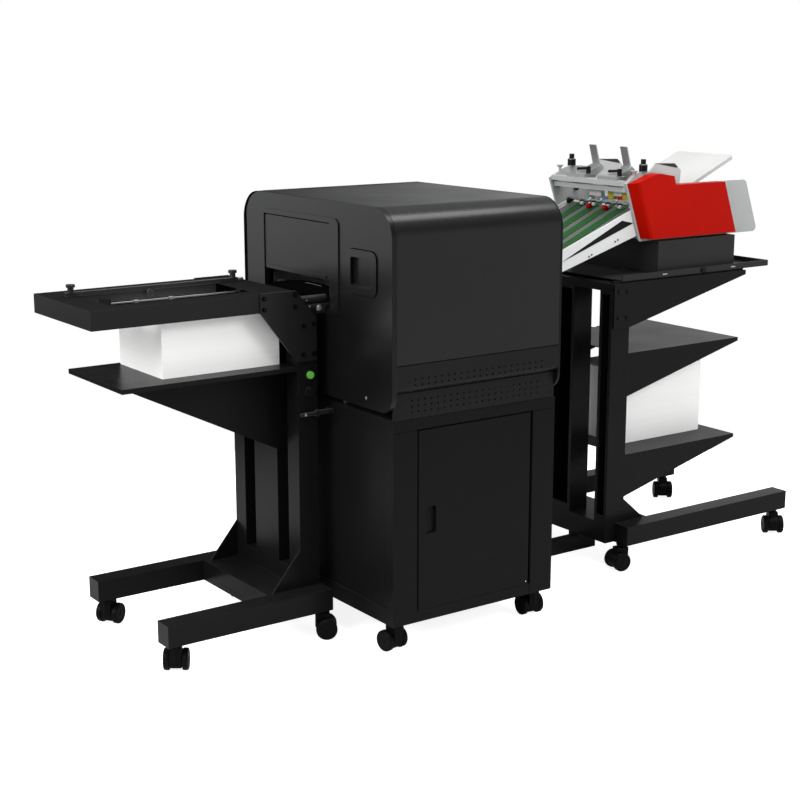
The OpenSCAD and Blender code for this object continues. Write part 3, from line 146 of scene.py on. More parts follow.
# %% Light and floor
RIGHT_WALL, FRONT_WALL, LEFT_WALL = (0.94, 0.342, 0), (0.576, -0.817, 0), (-0.576, 0.817, 0)
DARK_ROOM, SOFT_FILL = 0.03, 0.45
FLOOR_HALF, FLOOR_GLOW = 2.0, 0.86
scene.view_settings.view_transform = "Standard"
world = bpy.data.worlds.new("studio")
scene.world = world
world.use_nodes = True
sky = world.node_tree
sky.nodes.clear()
sky_path = put(sky, "ShaderNodeLightPath")


def sky_glow(toward, start, end, strength=1.0):
    around = put(sky, "ShaderNodeTexCoord").outputs["Generated"]
    along = put(sky, "ShaderNodeVectorMath", {0: around, 1: toward}, operation="DOT_PRODUCT")
    ramp = put(sky, "ShaderNodeMapRange", interpolation_type="SMOOTHSTEP")
    reach = {"Value": along.outputs["Value"], "From Min": start, "From Max": end, "To Max": strength}
    fill(sky, ramp, reach)
    return ramp.outputs[0]


right_glow = sky_glow(RIGHT_WALL, 0.73, 0.92, 0.8)
ceiling = sky_glow(UP, 0.35, 0.85, 0.75)
front_glow = sums(sky, "MULTIPLY", sky_glow(FRONT_WALL, 0.6, 0.9), sky_glow(DOWN, -0.4, -0.05))
left_glow = sums(sky, "MULTIPLY", sky_glow(LEFT_WALL, 0.6, 0.9, 0.7), sky_glow(UP, -0.165, -0.13))
soft_fill = sums(sky, "MULTIPLY", sky_path.outputs["Is Diffuse Ray"], SOFT_FILL)
room = DARK_ROOM
for glow in (right_glow, ceiling, front_glow, left_glow, soft_fill):
    room = sums(sky, "ADD", glow, room)
room_light = put(sky, "ShaderNodeBackground", {"Color": (0.98, 0.99, 1.0, 1), "Strength": room})
backdrop = put(sky, "ShaderNodeBackground", {"Color": (1, 1, 1, 1), "Strength": 1.0})
sky_mix = put(sky, "ShaderNodeMixShader", {0: sky_path.outputs["Is Camera Ray"]})
fill(sky, sky_mix, {1: room_light.outputs[0], 2: backdrop.outputs[0]})
put(sky, "ShaderNodeOutputWorld", {0: sky_mix.outputs[0]})


def panel_light(name, place, aim, width, height, power):
    data = bpy.data.lights.new(name, "AREA")
    data.shape = "RECTANGLE"
    data.size = width
    data.size_y = height
    data.energy = power
    lamp = bpy.data.objects.new(name, data)
    lamp.location = place
    lamp.rotation_euler = (Vector(aim) - Vector(place)).to_track_quat("-Z", "Y").to_euler()
    scene.collection.objects.link(lamp)
    return lamp


panel_light("left_panel", (-4.6, -0.8, 2.9), (0, 0, 0.8), 3.0, 2.4, 250)
panel_light("top_panel", (0.2, -0.9, 4.2), (0.2, 0, 0.8), 4.5, 1.2, 170)
front_panel = panel_light("front_panel", (1.0, -5.0, 3.4), (0.3, 0, 0.8), 2.5, 1.6, 130)
front_panel.visible_glossy = False

bm = bmesh.new()
bmesh.ops.create_grid(bm, x_segments=1, y_segments=1, size=FLOOR_HALF)
floor_mesh = bpy.data.meshes.new("floor")
bm.to_mesh(floor_mesh)
bm.free()
floor = bpy.data.objects.new("floor", floor_mesh)
scene.collection.objects.link(floor)
floor_paint, tree, shader = new_material("floor_paint")
fill(tree, shader, {"Base Color": (0.6, 0.6, 0.6, 1), "Roughness": 0.9, "Emission Color": (1, 1, 1, 1)})
seen = put(tree, "ShaderNodeLightPath").outputs["Is Camera Ray"]
fill(tree, shader, {"Emission Strength": sums(tree, "MULTIPLY", seen, FLOOR_GLOW)})
floor_mesh.materials.append(floor_paint)

# %% [markdown]
# Finishes share a few effects, so each effect is a node group with named sockets. Powder coat comes
# first. It is sprayed as dry powder and melted, so it keeps a fine orange peel. One noise at about a
# millimetre gives the peel, and a much larger one gives the faint clouds of gloss that a big sheet always
# has.

# %% Powder coat group
powder, takes, gives = new_group(
    "powder_coat", [("Vector", VECTOR), ("Scale", FLOAT)], [("Height", FLOAT), ("Cloud", FLOAT)]
)
where = takes.outputs["Vector"]
peel = put(powder, "ShaderNodeTexNoise", {"Vector": where, "Scale": takes.outputs["Scale"], "Detail": 3.0})
cloud = put(powder, "ShaderNodeTexNoise", {"Vector": where, "Scale": 4.0, "Detail": 4.0})
fill(powder, gives, {"Height": peel.outputs[0], "Cloud": cloud.outputs[0]})
print("group:", powder.name)

# %% [markdown]
# Edges lose their coat first. A Bevel node rounds the normal near an edge; where the rounded normal
# differs from the face's own normal there is an edge, and a noise breaks it up so that the wear isn't a
# drawn line.

# %% Edge wear group
edges, takes, gives = new_group(
    "edge_wear",
    [("Vector", VECTOR), ("Width", FLOAT), ("Amount", FLOAT)],
    [("Mask", FLOAT), ("Normal", VECTOR)],
)
rounded = put(edges, "ShaderNodeBevel", {"Radius": takes.outputs["Width"]}, samples=4).outputs[0]
facing = put(edges, "ShaderNodeNewGeometry").outputs["Normal"]
likeness = put(edges, "ShaderNodeVectorMath", {0: rounded, 1: facing}, operation="DOT_PRODUCT")
apart = sums(edges, "SUBTRACT", 1.0, likeness.outputs["Value"], True)
patch = put(edges, "ShaderNodeTexNoise", {"Vector": takes.outputs["Vector"], "Scale": 60.0, "Detail": 5.0})
broken = sums(edges, "MULTIPLY", sums(edges, "MULTIPLY", apart, 5.0), patch.outputs[0])
worn = sums(edges, "MULTIPLY", broken, takes.outputs["Amount"], True)
fill(edges, gives, {"Mask": worn, "Normal": rounded})
print("group:", edges.name)

# %% [markdown]
# Office machines gather a thin dust on whatever looks up. The upward part of the normal, times a soft
# noise, is enough.

# %% Dust group
dust, takes, gives = new_group("settled_dust", [("Vector", VECTOR), ("Amount", FLOAT)], [("Mask", FLOAT)])
facing = put(dust, "ShaderNodeNewGeometry").outputs["Normal"]
split = put(dust, "ShaderNodeSeparateXYZ", {0: facing})
upward = sums(dust, "POWER", sums(dust, "MAXIMUM", split.outputs[2], 0.0), 3.0)
fleck = put(dust, "ShaderNodeTexNoise", {"Vector": takes.outputs["Vector"], "Scale": 18.0, "Detail": 8.0})
laid = sums(dust, "MULTIPLY", upward, fleck.outputs[0])
fill(dust, gives, {"Mask": sums(dust, "MULTIPLY", laid, takes.outputs["Amount"], True)})
print("group:", dust.name)

# %% [markdown]
# Milled plates, ground rollers and drawn rods all show fine lines one way. Noise squeezed in one
# direction and stretched in the other makes them; each material chooses its own stretch.

# %% Tool lines group
lines, takes, gives = new_group(
    "tool_lines", [("Vector", VECTOR), ("Stretch", VECTOR)], [("Height", FLOAT), ("Tone", FLOAT)]
)
where = takes.outputs["Vector"]
drawn = put(lines, "ShaderNodeVectorMath", {0: where, 1: takes.outputs["Stretch"]}, operation="MULTIPLY")
fine = put(lines, "ShaderNodeTexNoise", {"Vector": drawn.outputs[0], "Scale": 1.0, "Detail": 4.0})
wide = put(lines, "ShaderNodeTexNoise", {"Vector": where, "Scale": 9.0, "Detail": 3.0})
fill(lines, gives, {"Height": fine.outputs[0], "Tone": wide.outputs[0]})
print("group:", lines.name)

# %% [markdown]
# One builder makes every painted or moulded finish: a base colour that varies a little, wear on the
# edges, dust on top and the fine bump. Values that are the same all over are set on the shader itself.

# %% Painted and moulded finishes
DUST_GREY = (0.16, 0.16, 0.155)
COAT_EDGE, COAT_SPREAD = 0.0012, 0.07


def grey(value):
    return (value, value, value * 1.03)


def coated(name, base, worn, rough, gloss=0.3, grain=900, depth=0.00004, wear=0.5, settle=0.25, coat=0.0):
    made, tree, shader = new_material(name)
    where = put(tree, "ShaderNodeTexCoord").outputs["Object"]
    peel = put(tree, "ShaderNodeGroup", {"Vector": where, "Scale": grain}, node_tree=powder).outputs
    edge = put(tree, "ShaderNodeGroup", {"Vector": where, "Amount": wear}, node_tree=edges)
    fill(tree, edge, {"Width": COAT_EDGE})
    film = put(tree, "ShaderNodeGroup", {"Vector": where, "Amount": settle}, node_tree=dust).outputs["Mask"]
    low = tuple(c * 0.86 for c in base)
    high = tuple(min(1, c * 1.14) for c in base)
    colour = mix_colour(tree, peel["Cloud"], low, high)
    colour = mix_colour(tree, edge.outputs["Mask"], colour, worn)
    colour = mix_colour(tree, film, colour, DUST_GREY)
    spread = put(tree, "ShaderNodeMapRange", {"Value": peel["Cloud"]})
    fill(tree, spread, {"To Min": rough - COAT_SPREAD, "To Max": rough + COAT_SPREAD})
    bump = put(tree, "ShaderNodeBump", {"Height": peel["Height"], "Normal": edge.outputs["Normal"]})
    fill(tree, bump, {"Strength": 0.35, "Distance": depth})
    roughness = sums(tree, "ADD", spread.outputs[0], film, True)
    fill(tree, shader, {"Base Color": colour, "Roughness": roughness, "Normal": bump.outputs[0]})
    fill(tree, shader, {"Specular IOR Level": gloss, "Coat Weight": coat, "Coat Roughness": 0.12})
    return made


finish = {
    "hood_paint": coated(
        "satin_charcoal", grey(0.0063), grey(0.05), 0.26, gloss=0.18, depth=0.00005, settle=0.05
    ),
    "cabinet_paint": coated(
        "cabinet_coat", grey(0.0042), grey(0.03), 0.34, gloss=0.05, depth=0.00006, settle=0.05
    ),
    "stand_paint": coated(
        "stand_black", grey(0.0043), grey(0.03), 0.28, gloss=0.07, depth=0.00005, settle=0.03
    ),
    "drive_paint": coated("motor_grey", grey(0.12), grey(0.4), 0.5),
    "latch_steel": coated("latch_black", grey(0.009), grey(0.2), 0.35, gloss=0.35, wear=0.9),
    "black_plastic": coated(
        "moulded_black", grey(0.003), grey(0.02), 0.4, gloss=0.12, grain=1500, settle=0.02
    ),
    "caster_body": coated(
        "caster_hood_black", grey(0.0025), grey(0.02), 0.42, gloss=0.04, grain=1400, settle=0.02
    ),
    "caster_tread": coated(
        "caster_wheel_black", grey(0.0025), grey(0.02), 0.38, gloss=0.05, grain=1400, settle=0.02
    ),
    "cover_red": coated(
        "cover_red", (0.265, 0.003, 0.0006), (0.36, 0.012, 0.006), 0.36, gloss=0.03, grain=1100,
        depth=0.00002, wear=0.15, settle=0.0,
    ),
    "frame_grey": coated("side_plate_grey", (0.25, 0.26, 0.255), grey(0.4), 0.42, settle=0.0, wear=0.3),
    "rail_silver": coated("rail_white", (0.45, 0.455, 0.45), grey(0.75), 0.36, settle=0.0, wear=0.3),
    "support_white": coated(
        "frosted_white", (0.33, 0.33, 0.322), grey(0.8), 0.5, settle=0.0, wear=0.1, grain=1600
    ),
    "roller_rubber": coated(
        "roller_rubber", grey(0.015), grey(0.05), 0.6, gloss=0.3, grain=2200, depth=0.0001
    ),
}
print("coated finishes:", len(finish))

# %% [markdown]
# Bare metal is the other family: a metallic base whose roughness and bump follow the tool lines.

# %% Metal finishes
METAL_EDGE, BARE = 0.0008, (0.8, 0.8, 0.8)


def metal(name, base, rough, stretch, depth=0.00003, wear=0.3):
    made, tree, shader = new_material(name)
    where = put(tree, "ShaderNodeTexCoord").outputs["Object"]
    cut = put(tree, "ShaderNodeGroup", {"Vector": where, "Stretch": stretch}, node_tree=lines).outputs
    edge = put(tree, "ShaderNodeGroup", {"Vector": where, "Amount": wear}, node_tree=edges)
    fill(tree, edge, {"Width": METAL_EDGE})
    colour = mix_colour(tree, cut["Height"], tuple(c * 0.85 for c in base), base)
    colour = mix_colour(tree, edge.outputs["Mask"], colour, BARE)
    spread = put(tree, "ShaderNodeMapRange", {"Value": cut["Tone"]})
    fill(tree, spread, {"To Min": rough - 0.08, "To Max": rough + 0.1})
    bump = put(tree, "ShaderNodeBump", {"Height": cut["Height"], "Normal": edge.outputs["Normal"]})
    fill(tree, bump, {"Strength": 0.3, "Distance": depth})
    fill(tree, shader, {"Base Color": colour, "Roughness": spread.outputs[0], "Normal": bump.outputs[0]})
    fill(tree, shader, {"Metallic": 1.0})
    return made


finish["unit_metal"] = metal("milled_aluminium", (0.62, 0.63, 0.65), 0.38, (40, 900, 40))
finish["roller_steel"] = metal("ground_steel", (0.58, 0.58, 0.6), 0.3, (60, 1600, 60))
finish["gate_steel"] = metal("gate_steel", (0.55, 0.56, 0.56), 0.34, (60, 60, 1200))
finish["box_sheet"] = metal("zinc_sheet", (0.5, 0.51, 0.52), 0.45, (120, 30, 120))
bright_steel = metal("bright_rod", (0.8, 0.8, 0.82), 0.16, (30, 1500, 1500), depth=0.00001)
drawn_steel = metal("drawn_rod", (0.17, 0.17, 0.175), 0.3, (30, 1500, 1500), depth=0.00001)
print("metal finishes:", [m.name for m in (finish["unit_metal"], bright_steel, drawn_steel)])

# %% [markdown]
# Paper stacks are read by their edges: hundreds of sheets that never line up perfectly. Noise stretched
# flat and packed tightly in height draws the sheets on the sides; the same noise is even on the top,
# where only one sheet shows.

# %% Paper
paper, tree, shader = new_material("stacked_sheets")
where = put(tree, "ShaderNodeTexCoord").outputs["Object"]
stack = put(tree, "ShaderNodeGroup", {"Vector": where, "Stretch": (5, 5, 900)}, node_tree=lines)
sheets = stack.outputs["Height"]
layers = put(tree, "ShaderNodeMapping", {"Vector": where, "Scale": (1, 1, 60)})
reams = put(tree, "ShaderNodeTexNoise", {"Vector": layers.outputs[0], "Scale": 1.0})
colour = mix_colour(tree, sheets, (0.67, 0.665, 0.655), (0.83, 0.825, 0.815))
colour = mix_colour(tree, reams.outputs[0], colour, (0.81, 0.805, 0.795))
bump = put(tree, "ShaderNodeBump", {"Height": sheets, "Strength": 0.4, "Distance": 0.0003})
fill(tree, shader, {"Base Color": colour, "Normal": bump.outputs[0]})
fill(tree, shader, {"Roughness": 0.85, "Specular IOR Level": 0.2})
finish["paper"] = paper
print("paper:", paper.name)

# %% [markdown]
# The conveyor's belts are flat green belts with a fine woven face. Two wave textures crossed at right
# angles make the weave; it is small, so it mostly softens the gloss. The start button's green carries a
# faint painted glow, as if lit.

# %% Green belts and the glowing button
belt, tree, shader = new_material("woven_belt_green")
where = put(tree, "ShaderNodeTexCoord").outputs["Object"]
thread = {"Vector": where, "Scale": 180.0, "Distortion": 0.4}
warp = put(tree, "ShaderNodeTexWave", thread, bands_direction="X")
weft = put(tree, "ShaderNodeTexWave", thread, bands_direction="Y")
weave = sums(tree, "MULTIPLY", warp.outputs["Fac"], weft.outputs["Fac"])
stain = put(tree, "ShaderNodeTexNoise", {"Vector": where, "Scale": 14.0, "Detail": 5.0}).outputs[0]
colour = mix_colour(tree, weave, (0.005, 0.036, 0.007), (0.011, 0.070, 0.014))
colour = mix_colour(tree, stain, colour, (0.011, 0.060, 0.014))
spread = put(tree, "ShaderNodeMapRange", {"Value": stain, "To Min": 0.38, "To Max": 0.62})
bump = put(tree, "ShaderNodeBump", {"Height": weave, "Strength": 0.3, "Distance": 0.0002})
fill(tree, shader, {"Base Color": colour, "Roughness": spread.outputs[0], "Normal": bump.outputs[0]})
fill(tree, shader, {"Specular IOR Level": 0.2})
finish["belt_green"] = belt

glowing_button = coated(
    "button_green", (0.07, 0.26, 0.035), (0.15, 0.4, 0.1), 0.3, gloss=0.5, grain=1800, wear=0.1, settle=0.0,
    coat=0.4,
)
shader = glowing_button.node_tree.nodes["Principled BSDF"]
# A faint emission paints a glow on the start button.
fill(glowing_button.node_tree, shader, {"Emission Color": (0.08, 0.4, 0.04, 1), "Emission Strength": 0.18})
finish["start_green"] = glowing_button
print("belts and button ready")

# %% [markdown]
# Every solid names its finish in the record, so one loop dresses them all. The moulded end panel and its
# flap are smoother than the sprayed hood and mirror more of the room, so they get a finish of their own,
# with a clear coat on the outer face alone that thins out below the slot. The bolted plates, the pierced
# strips, the tray with its matt upper face, the feeder's base and the near-black of the screws, the
# deflector and the strips that paint shade in the joints have theirs too.

# %% Dress the solids
COAT_LOW, COAT_FULL, FACING = 0.95, 1.06, 0.9
for part in frame["record"]["subparts"]:
    held = nodes[part["node"]]
    if not held.material_slots:
        held.data.materials.append(None)
    for place in held.material_slots:
        place.material = finish[part["material_slot"]]


def split_of(tree, output):
    return put(tree, "ShaderNodeSeparateXYZ", {0: put(tree, "ShaderNodeTexCoord").outputs[output]}).outputs


moulded = coated("moulded_panel", grey(0.0032), grey(0.03), 0.32, gloss=0.15, grain=1200, settle=0.03)
tree = moulded.node_tree
shader = tree.nodes["Principled BSDF"]
outer = sums(tree, "LESS_THAN", split_of(tree, "Normal")[0], -FACING)
height = split_of(tree, "Object")[2]
polish = put(tree, "ShaderNodeMapRange", {"Value": height, "From Min": COAT_LOW, "From Max": COAT_FULL})
coat = sums(tree, "MULTIPLY", outer, polish.outputs[0])
fill(tree, shader, {"Coat Weight": coat, "Coat Roughness": 0.3})

tray_black = coated("tray_black", grey(0.008), grey(0.03), 0.3, gloss=0.1, settle=0.0)
tree = tray_black.node_tree
shader = tree.nodes["Principled BSDF"]
upper = sums(tree, "GREATER_THAN", split_of(tree, "Normal")[2], FACING)
colour = mix_colour(tree, upper, shader.inputs["Base Color"].links[0].from_socket, grey(0.001))
matt = sums(tree, "MULTIPLY", upper, 0.8)
rough = sums(tree, "MAXIMUM", shader.inputs["Roughness"].links[0].from_socket, matt)
fill(tree, shader, {"Base Color": colour, "Roughness": rough})

# This near-black serves the screws and the deflector, and also the strips that paint shade in joints and
# gaps.
black_and_shade = coated("black_and_painted_shade", grey(0.0006), grey(0.004), 0.7, gloss=0.01, settle=0.0, wear=0.2)
plate = coated("plate_black", grey(0.0064), grey(0.04), 0.30, gloss=0.2, settle=0.03)
pierced = coated("pierced_strip", grey(0.0078), grey(0.03), 0.34, gloss=0.06, settle=0.05)
base_grey = coated("base_grey", grey(0.013), grey(0.05), 0.36, gloss=0.12, settle=0.03)
own_finish = {
    "left_end_panel": moulded,
    "output_flap": moulded,
    "right_end_panel": finish["black_plastic"],
    "stacker_side_plates": plate,
    "stacker_tray": tray_black,
    "hood_skirt": pierced,
    "vent_panel": pierced,
    "feeder_carriage": base_grey,
}
for name, material in own_finish.items():
    nodes[name].material_slots[0].material = material

# %% [markdown]
# New pieces start from a few shapes. A block is a cube with its edges bevelled, because nothing made of
# metal or plastic has a perfectly sharp edge. A turned piece is a profile spun round an axis, as on a
# lathe. A plate or a band is a flat outline that is extruded by its thickness.

# %% Shape helpers


def add_block(bm, low, high, bevel=0.6, segments=2, lean=None):
    low, high = spot(*low), spot(*high)
    middle = (low + high) / 2
    size = high - low
    place = Matrix.Translation(middle) @ (lean or Matrix()) @ Matrix.Diagonal((size.x, size.y, size.z, 1))
    made = bmesh.ops.create_cube(bm, size=1, matrix=place)
    rims = list({edge for vert in made["verts"] for edge in vert.link_edges})
    if bevel:
        bmesh.ops.bevel(
            bm, geom=rims, offset=bevel / MM, offset_type="OFFSET", segments=segments, profile=0.5,
            affect="EDGES", material=-1,
        )


def add_turned(bm, profile, centre, axis, steps=28):
    turn = Vector(UP).rotation_difference(Vector(axis).normalized()).to_matrix()
    across, along = turn @ Vector(RIGHT), turn @ Vector(UP)
    verts = [bm.verts.new(centre + across * (r / MM) + along * (h / MM)) for r, h in profile]
    rims = [bm.edges.new(pair) for pair in zip(verts, verts[1:])]
    bmesh.ops.spin(
        bm, geom=verts + rims, cent=centre, axis=along, dvec=(0, 0, 0), angle=2 * math.pi, steps=steps,
        use_merge=True,
    )


def thicken(bm, faces, way):
    grown = bmesh.ops.extrude_face_region(bm, geom=faces, use_keep_orig=True)
    moved = [made for made in grown["geom"] if isinstance(made, bmesh.types.BMVert)]
    bmesh.ops.translate(bm, verts=moved, vec=Vector(way) / MM)


def add_plate(bm, corners, way):
    thicken(bm, [bm.faces.new([bm.verts.new(spot(*corner)) for corner in corners])], way)


def add_band(bm, pairs, way, closed=False):
    pairs = [[bm.verts.new(spot(*point)) for point in pair] for pair in pairs]
    ahead = pairs[1:] + pairs[:1] if closed else pairs[1:]
    thicken(bm, [bm.faces.new((a, b, d, c)) for (a, b), (c, d) in zip(pairs, ahead)], way)


def make_piece(name, bm, material, body, smooth=35):
    bmesh.ops.remove_doubles(bm, verts=bm.verts, dist=0.000002)
    bmesh.ops.dissolve_degenerate(bm, edges=bm.edges, dist=0.000001)
    bmesh.ops.recalc_face_normals(bm, faces=bm.faces)
    mesh = bpy.data.meshes.new(name)
    bm.to_mesh(mesh)
    bm.free()
    mesh.materials.append(material)
    mesh.polygons.foreach_set("use_smooth", [True] * len(mesh.polygons))
    mesh.set_sharp_from_angle(angle=math.radians(smooth))
    made = bpy.data.objects.new(name, mesh)
    scene.collection.objects.link(made)
    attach(made, body)
    print("piece", name, len(mesh.polygons), "faces")
    return made


# %% [markdown]
# In the stacker's tray a drawn steel rod carries the stops. The solid rod is painted with the tray in the
# imported model, so a thin steel tube goes over it, with two small collars. A thin black sheet under it
# paints the shade that falls on the paper in the tray. The sliding guide ends in a steel foot.

# %% Tray rod, collars and shade sheet
ROD_Y, ROD_Z, ROD_START, ROD_END = 470, 1049, -636, -228
TUBE = [(2.5, ROD_START - 0.5), (2.75, ROD_START), (2.75, ROD_END), (2.5, ROD_END + 0.5)]
COLLAR = [(2.8, -7), (4.6, -7), (5.2, -6), (5.2, 6), (4.6, 7), (2.8, 7)]
bm = bmesh.new()
add_turned(bm, TUBE, spot(0, ROD_Y, ROD_Z), RIGHT)
make_piece("rod_tube", bm, drawn_steel, "machine")
bm = bmesh.new()
for x in (-556, -447):
    add_turned(bm, COLLAR, spot(x, ROD_Y, ROD_Z), RIGHT)
make_piece("rod_collars", bm, drawn_steel, "machine")
# A thin black sheet under the rod paints the shade on the paper in the tray.
bm = bmesh.new()
add_block(bm, (-640, ROD_Y - 1.4, 1022), (ROD_END, ROD_Y + 1.4, 1046.2), 0.4)
make_piece("rod_shade_sheet", bm, black_and_shade, "machine")
bm = bmesh.new()
add_block(bm, (-163, 583, 1061), (-144, 597, 1071), 1.5, 3)
make_piece("guide_foot", bm, finish["gate_steel"], "guide")

# %% [markdown]
# The feeder sends sheets down a slope. On the real bed, grey slats fill the gaps between the green belts.
# They lie along the slope, so each is a block turned by the slope's angle.

# %% Slats between the belts
SLOPE = math.radians(23.8)
LEANING = Matrix.Rotation(-SLOPE, 4, "Y")
BELT_X, BELT_Z = 1260, 1224.3
BED_START, BED_END = 664, 1252
SLAT_SIDES = ((348, 391), (435, 459), (503, 527), (571, 595), (639, 682))


def belt_height(x, lift=0.0):
    return BELT_Z + math.tan(SLOPE) * (x - BELT_X) + lift / math.cos(SLOPE)


def add_sloping(bm, x0, x1, y0, y1, low, high, bevel=0.4):
    middle = (x0 + x1) / 2
    half = (x1 - x0) / 2 / math.cos(SLOPE)
    height = belt_height(middle, (low + high) / 2)
    thick = (high - low) / 2
    lower, upper = (middle - half, y0, height - thick), (middle + half, y1, height + thick)
    add_block(bm, lower, upper, bevel, 2, LEANING)


slat_grey = coated("slat_grey", (0.075, 0.08, 0.075), grey(0.15), 0.5, gloss=0.2, settle=0.0)
bm = bmesh.new()
for y0, y1 in SLAT_SIDES:
    add_sloping(bm, BED_START, BED_END, y0, y1, -3.0, -1.6)
make_piece("belt_slats", bm, slat_grey, "feeder")

# %% [markdown]
# At the top of the belts a cross shaft carries steel rollers between the belts. Short black arms reach
# from it to a small white roller over each belt, and two longer ones to the red wheels that hold each
# sheet flat.

# %% Hold-down shaft, rollers and wheels
BELT_MIDDLES = (409, 469, 542, 602)
SHAFT_X = 1240
SHAFT_Z = belt_height(SHAFT_X, 15)
ROLLER_X, WHEEL_X = SHAFT_X - 10, SHAFT_X - 26
SHAFT = [(0, 0), (3, 0), (3, 342), (0, 342)]
SHAFT_ROLLER = [(3, -9), (7, -9), (8, -8), (8, 8), (7, 9), (3, 9)]
WHITE_ROLLER = [(0, -7), (5, -7), (6.5, -5), (7, 0), (6.5, 5), (5, 7), (0, 7)]
RED_WHEEL = [(0, -7), (7, -7), (8.5, -6), (8.5, -2), (7, -1), (7, 1), (8.5, 2), (8.5, 6), (7, 7), (0, 7)]
bm = bmesh.new()
add_turned(bm, SHAFT, spot(SHAFT_X, 344, SHAFT_Z), BACK, 16)
for y in (387, 445, 519, 576):
    add_turned(bm, SHAFT_ROLLER, spot(SHAFT_X, y, SHAFT_Z), BACK, 24)
make_piece("hold_down_shaft", bm, finish["gate_steel"], "feeder")
bm = bmesh.new()
for y in BELT_MIDDLES:
    add_turned(bm, WHITE_ROLLER, spot(ROLLER_X, y, belt_height(ROLLER_X, 7.4)), BACK, 20)
make_piece("hold_down_rollers", bm, finish["support_white"], "feeder")
bm = bmesh.new()
for y in (466, 548):
    add_turned(bm, RED_WHEEL, spot(WHEEL_X, y, belt_height(WHEEL_X, 8.8)), BACK, 24)
make_piece("hold_down_wheels", bm, finish["cover_red"], "feeder")
bm = bmesh.new()
for y in BELT_MIDDLES:
    add_sloping(bm, SHAFT_X - 13, SHAFT_X + 4, y + 7, y + 10, 5, 16, 0.8)
for y in (473, 555):
    add_sloping(bm, SHAFT_X - 30, SHAFT_X + 4, y, y + 3, 6, 12, 0.8)
make_piece("hold_down_arms", bm, finish["black_plastic"], "feeder")

# %% [markdown]
# Behind the lower cross bar hang the blocks that let one sheet through at a time: two white ones and two
# yellow pads, with a small red and a small blue tab to set them.

# %% Sheet separators
BAR_BACK, BLOCK_TOP = 1207.6, 1284
yellow = coated("pad_yellow", (0.24, 0.20, 0.012), (0.4, 0.35, 0.1), 0.55, grain=1200, settle=0.0)
blue = coated("tab_blue", (0.05, 0.10, 0.25), (0.2, 0.3, 0.5), 0.4, grain=1500, settle=0.0)
bm = bmesh.new()
add_block(bm, (BAR_BACK, 481, 1252), (1226, 542, BLOCK_TOP), 2.0, 3)
add_block(bm, (BAR_BACK, 379, 1258), (1224, 420, BLOCK_TOP), 2.0, 3)
make_piece("separator_blocks", bm, finish["support_white"], "feeder")
bm = bmesh.new()
add_block(bm, (BAR_BACK, 421, 1246), (1230, 449, BLOCK_TOP), 2.5, 3)
add_block(bm, (BAR_BACK, 348, 1248), (1230, 377, BLOCK_TOP), 2.5, 3)
make_piece("separator_pads", bm, yellow, "feeder")
bm = bmesh.new()
add_block(bm, (BAR_BACK, 374, 1247), (1220, 399, 1258.5), 1.0)
make_piece("separator_tab_red", bm, finish["cover_red"], "feeder")
bm = bmesh.new()
add_block(bm, (BAR_BACK, 452, 1244), (1220, 482, 1253), 1.0)
make_piece("separator_tab_blue", bm, blue, "feeder")

# %% [markdown]
# Black knobs serve the head from above and from inside. The two upper ones stand on the side plates' top
# edges: a wide grip under a narrow one. The inner face of the far plate carries two more, each with a
# foot, a waist and a grip.

# %% Black knobs
KNOB_X, KNOB_TOP, KNOB_PLATES, FAR_PLATE = 1260.6, 1342.3, (334, 696), 692
INNER_KNOB = [(0, 16), (7, 16), (10, 14), (11, 11), (11, 6), (8, 4), (6, 3), (6, 0), (0, 0)]
UPPER_KNOB = [
    (0, 42.5), (7.5, 42.5), (8.9, 41), (8.9, 26), (12, 25.2), (14.5, 23), (14.5, 2), (13, 0.4), (0, 0.4)
]
bm = bmesh.new()
for x, z, size in ((1246, 1221, 1.35), (1275, 1264, 0.8)):
    add_turned(bm, [(r * size, h) for r, h in INNER_KNOB], spot(x, FAR_PLATE, z), FRONT)
for y in KNOB_PLATES:
    add_turned(bm, UPPER_KNOB, spot(KNOB_X, y, KNOB_TOP), UP)
make_piece("head_knobs", bm, finish["black_plastic"], "feeder")

# %% [markdown]
# In front of each upper knob a steel pin stands on the plate's sloping edge. Its head flares like a
# funnel.

# %% Steel pins
PIN_Z = 1334
FUNNEL = [(0, 14), (12, 14), (13, 13), (6, 6), (4.5, 2), (4.5, -8), (0, -8)]
bm = bmesh.new()
for x, y in ((1206, 696), (1221, 334)):
    add_turned(bm, FUNNEL, spot(x, y, PIN_Z), UP)
make_piece("plate_pins", bm, finish["frame_grey"], "feeder")

# %% [markdown]
# The white sheet guides end in a folded edge that lies in shadow. A dark strip on each guide's near face
# paints that shadow on the fold.

# %% Shadow on the folded guide edges
FOLD_SHADOW = ((1352, 1365), (1442, 1361.6), (1456, 1351), (1453, 1346))
# Dark strips paint the shadow on the guides' folded edges.
bm = bmesh.new()
for y in (368.5, 655.5):
    add_plate(bm, [(x, y, z) for x, z in FOLD_SHADOW], (0, -0.6, 0))
make_piece("guide_fold_shadows", bm, finish["latch_steel"], "feeder")

# %% [markdown]
# Seen from the side, each conveyor rail is two strips with a gap that widens towards the feeder. A thin
# dark plate on the rail paints the shade in that gap, and pairs of small socket screws hold the lower strip.

# %% Rail gap shade and screws
RAIL_FACES = ((338, -1), (692, 1))
RAIL_GAP_SHADE = ((908, 1061), (1226, 1171), (1175, 1183))
RAIL_SHADE_THICK = 0.5
SOCKET_SCREW = [(0, 0.4), (1.6, 0.4), (1.8, 1.2), (3.2, 1.2), (3.6, 0.6), (3.6, 0), (0, 0)]
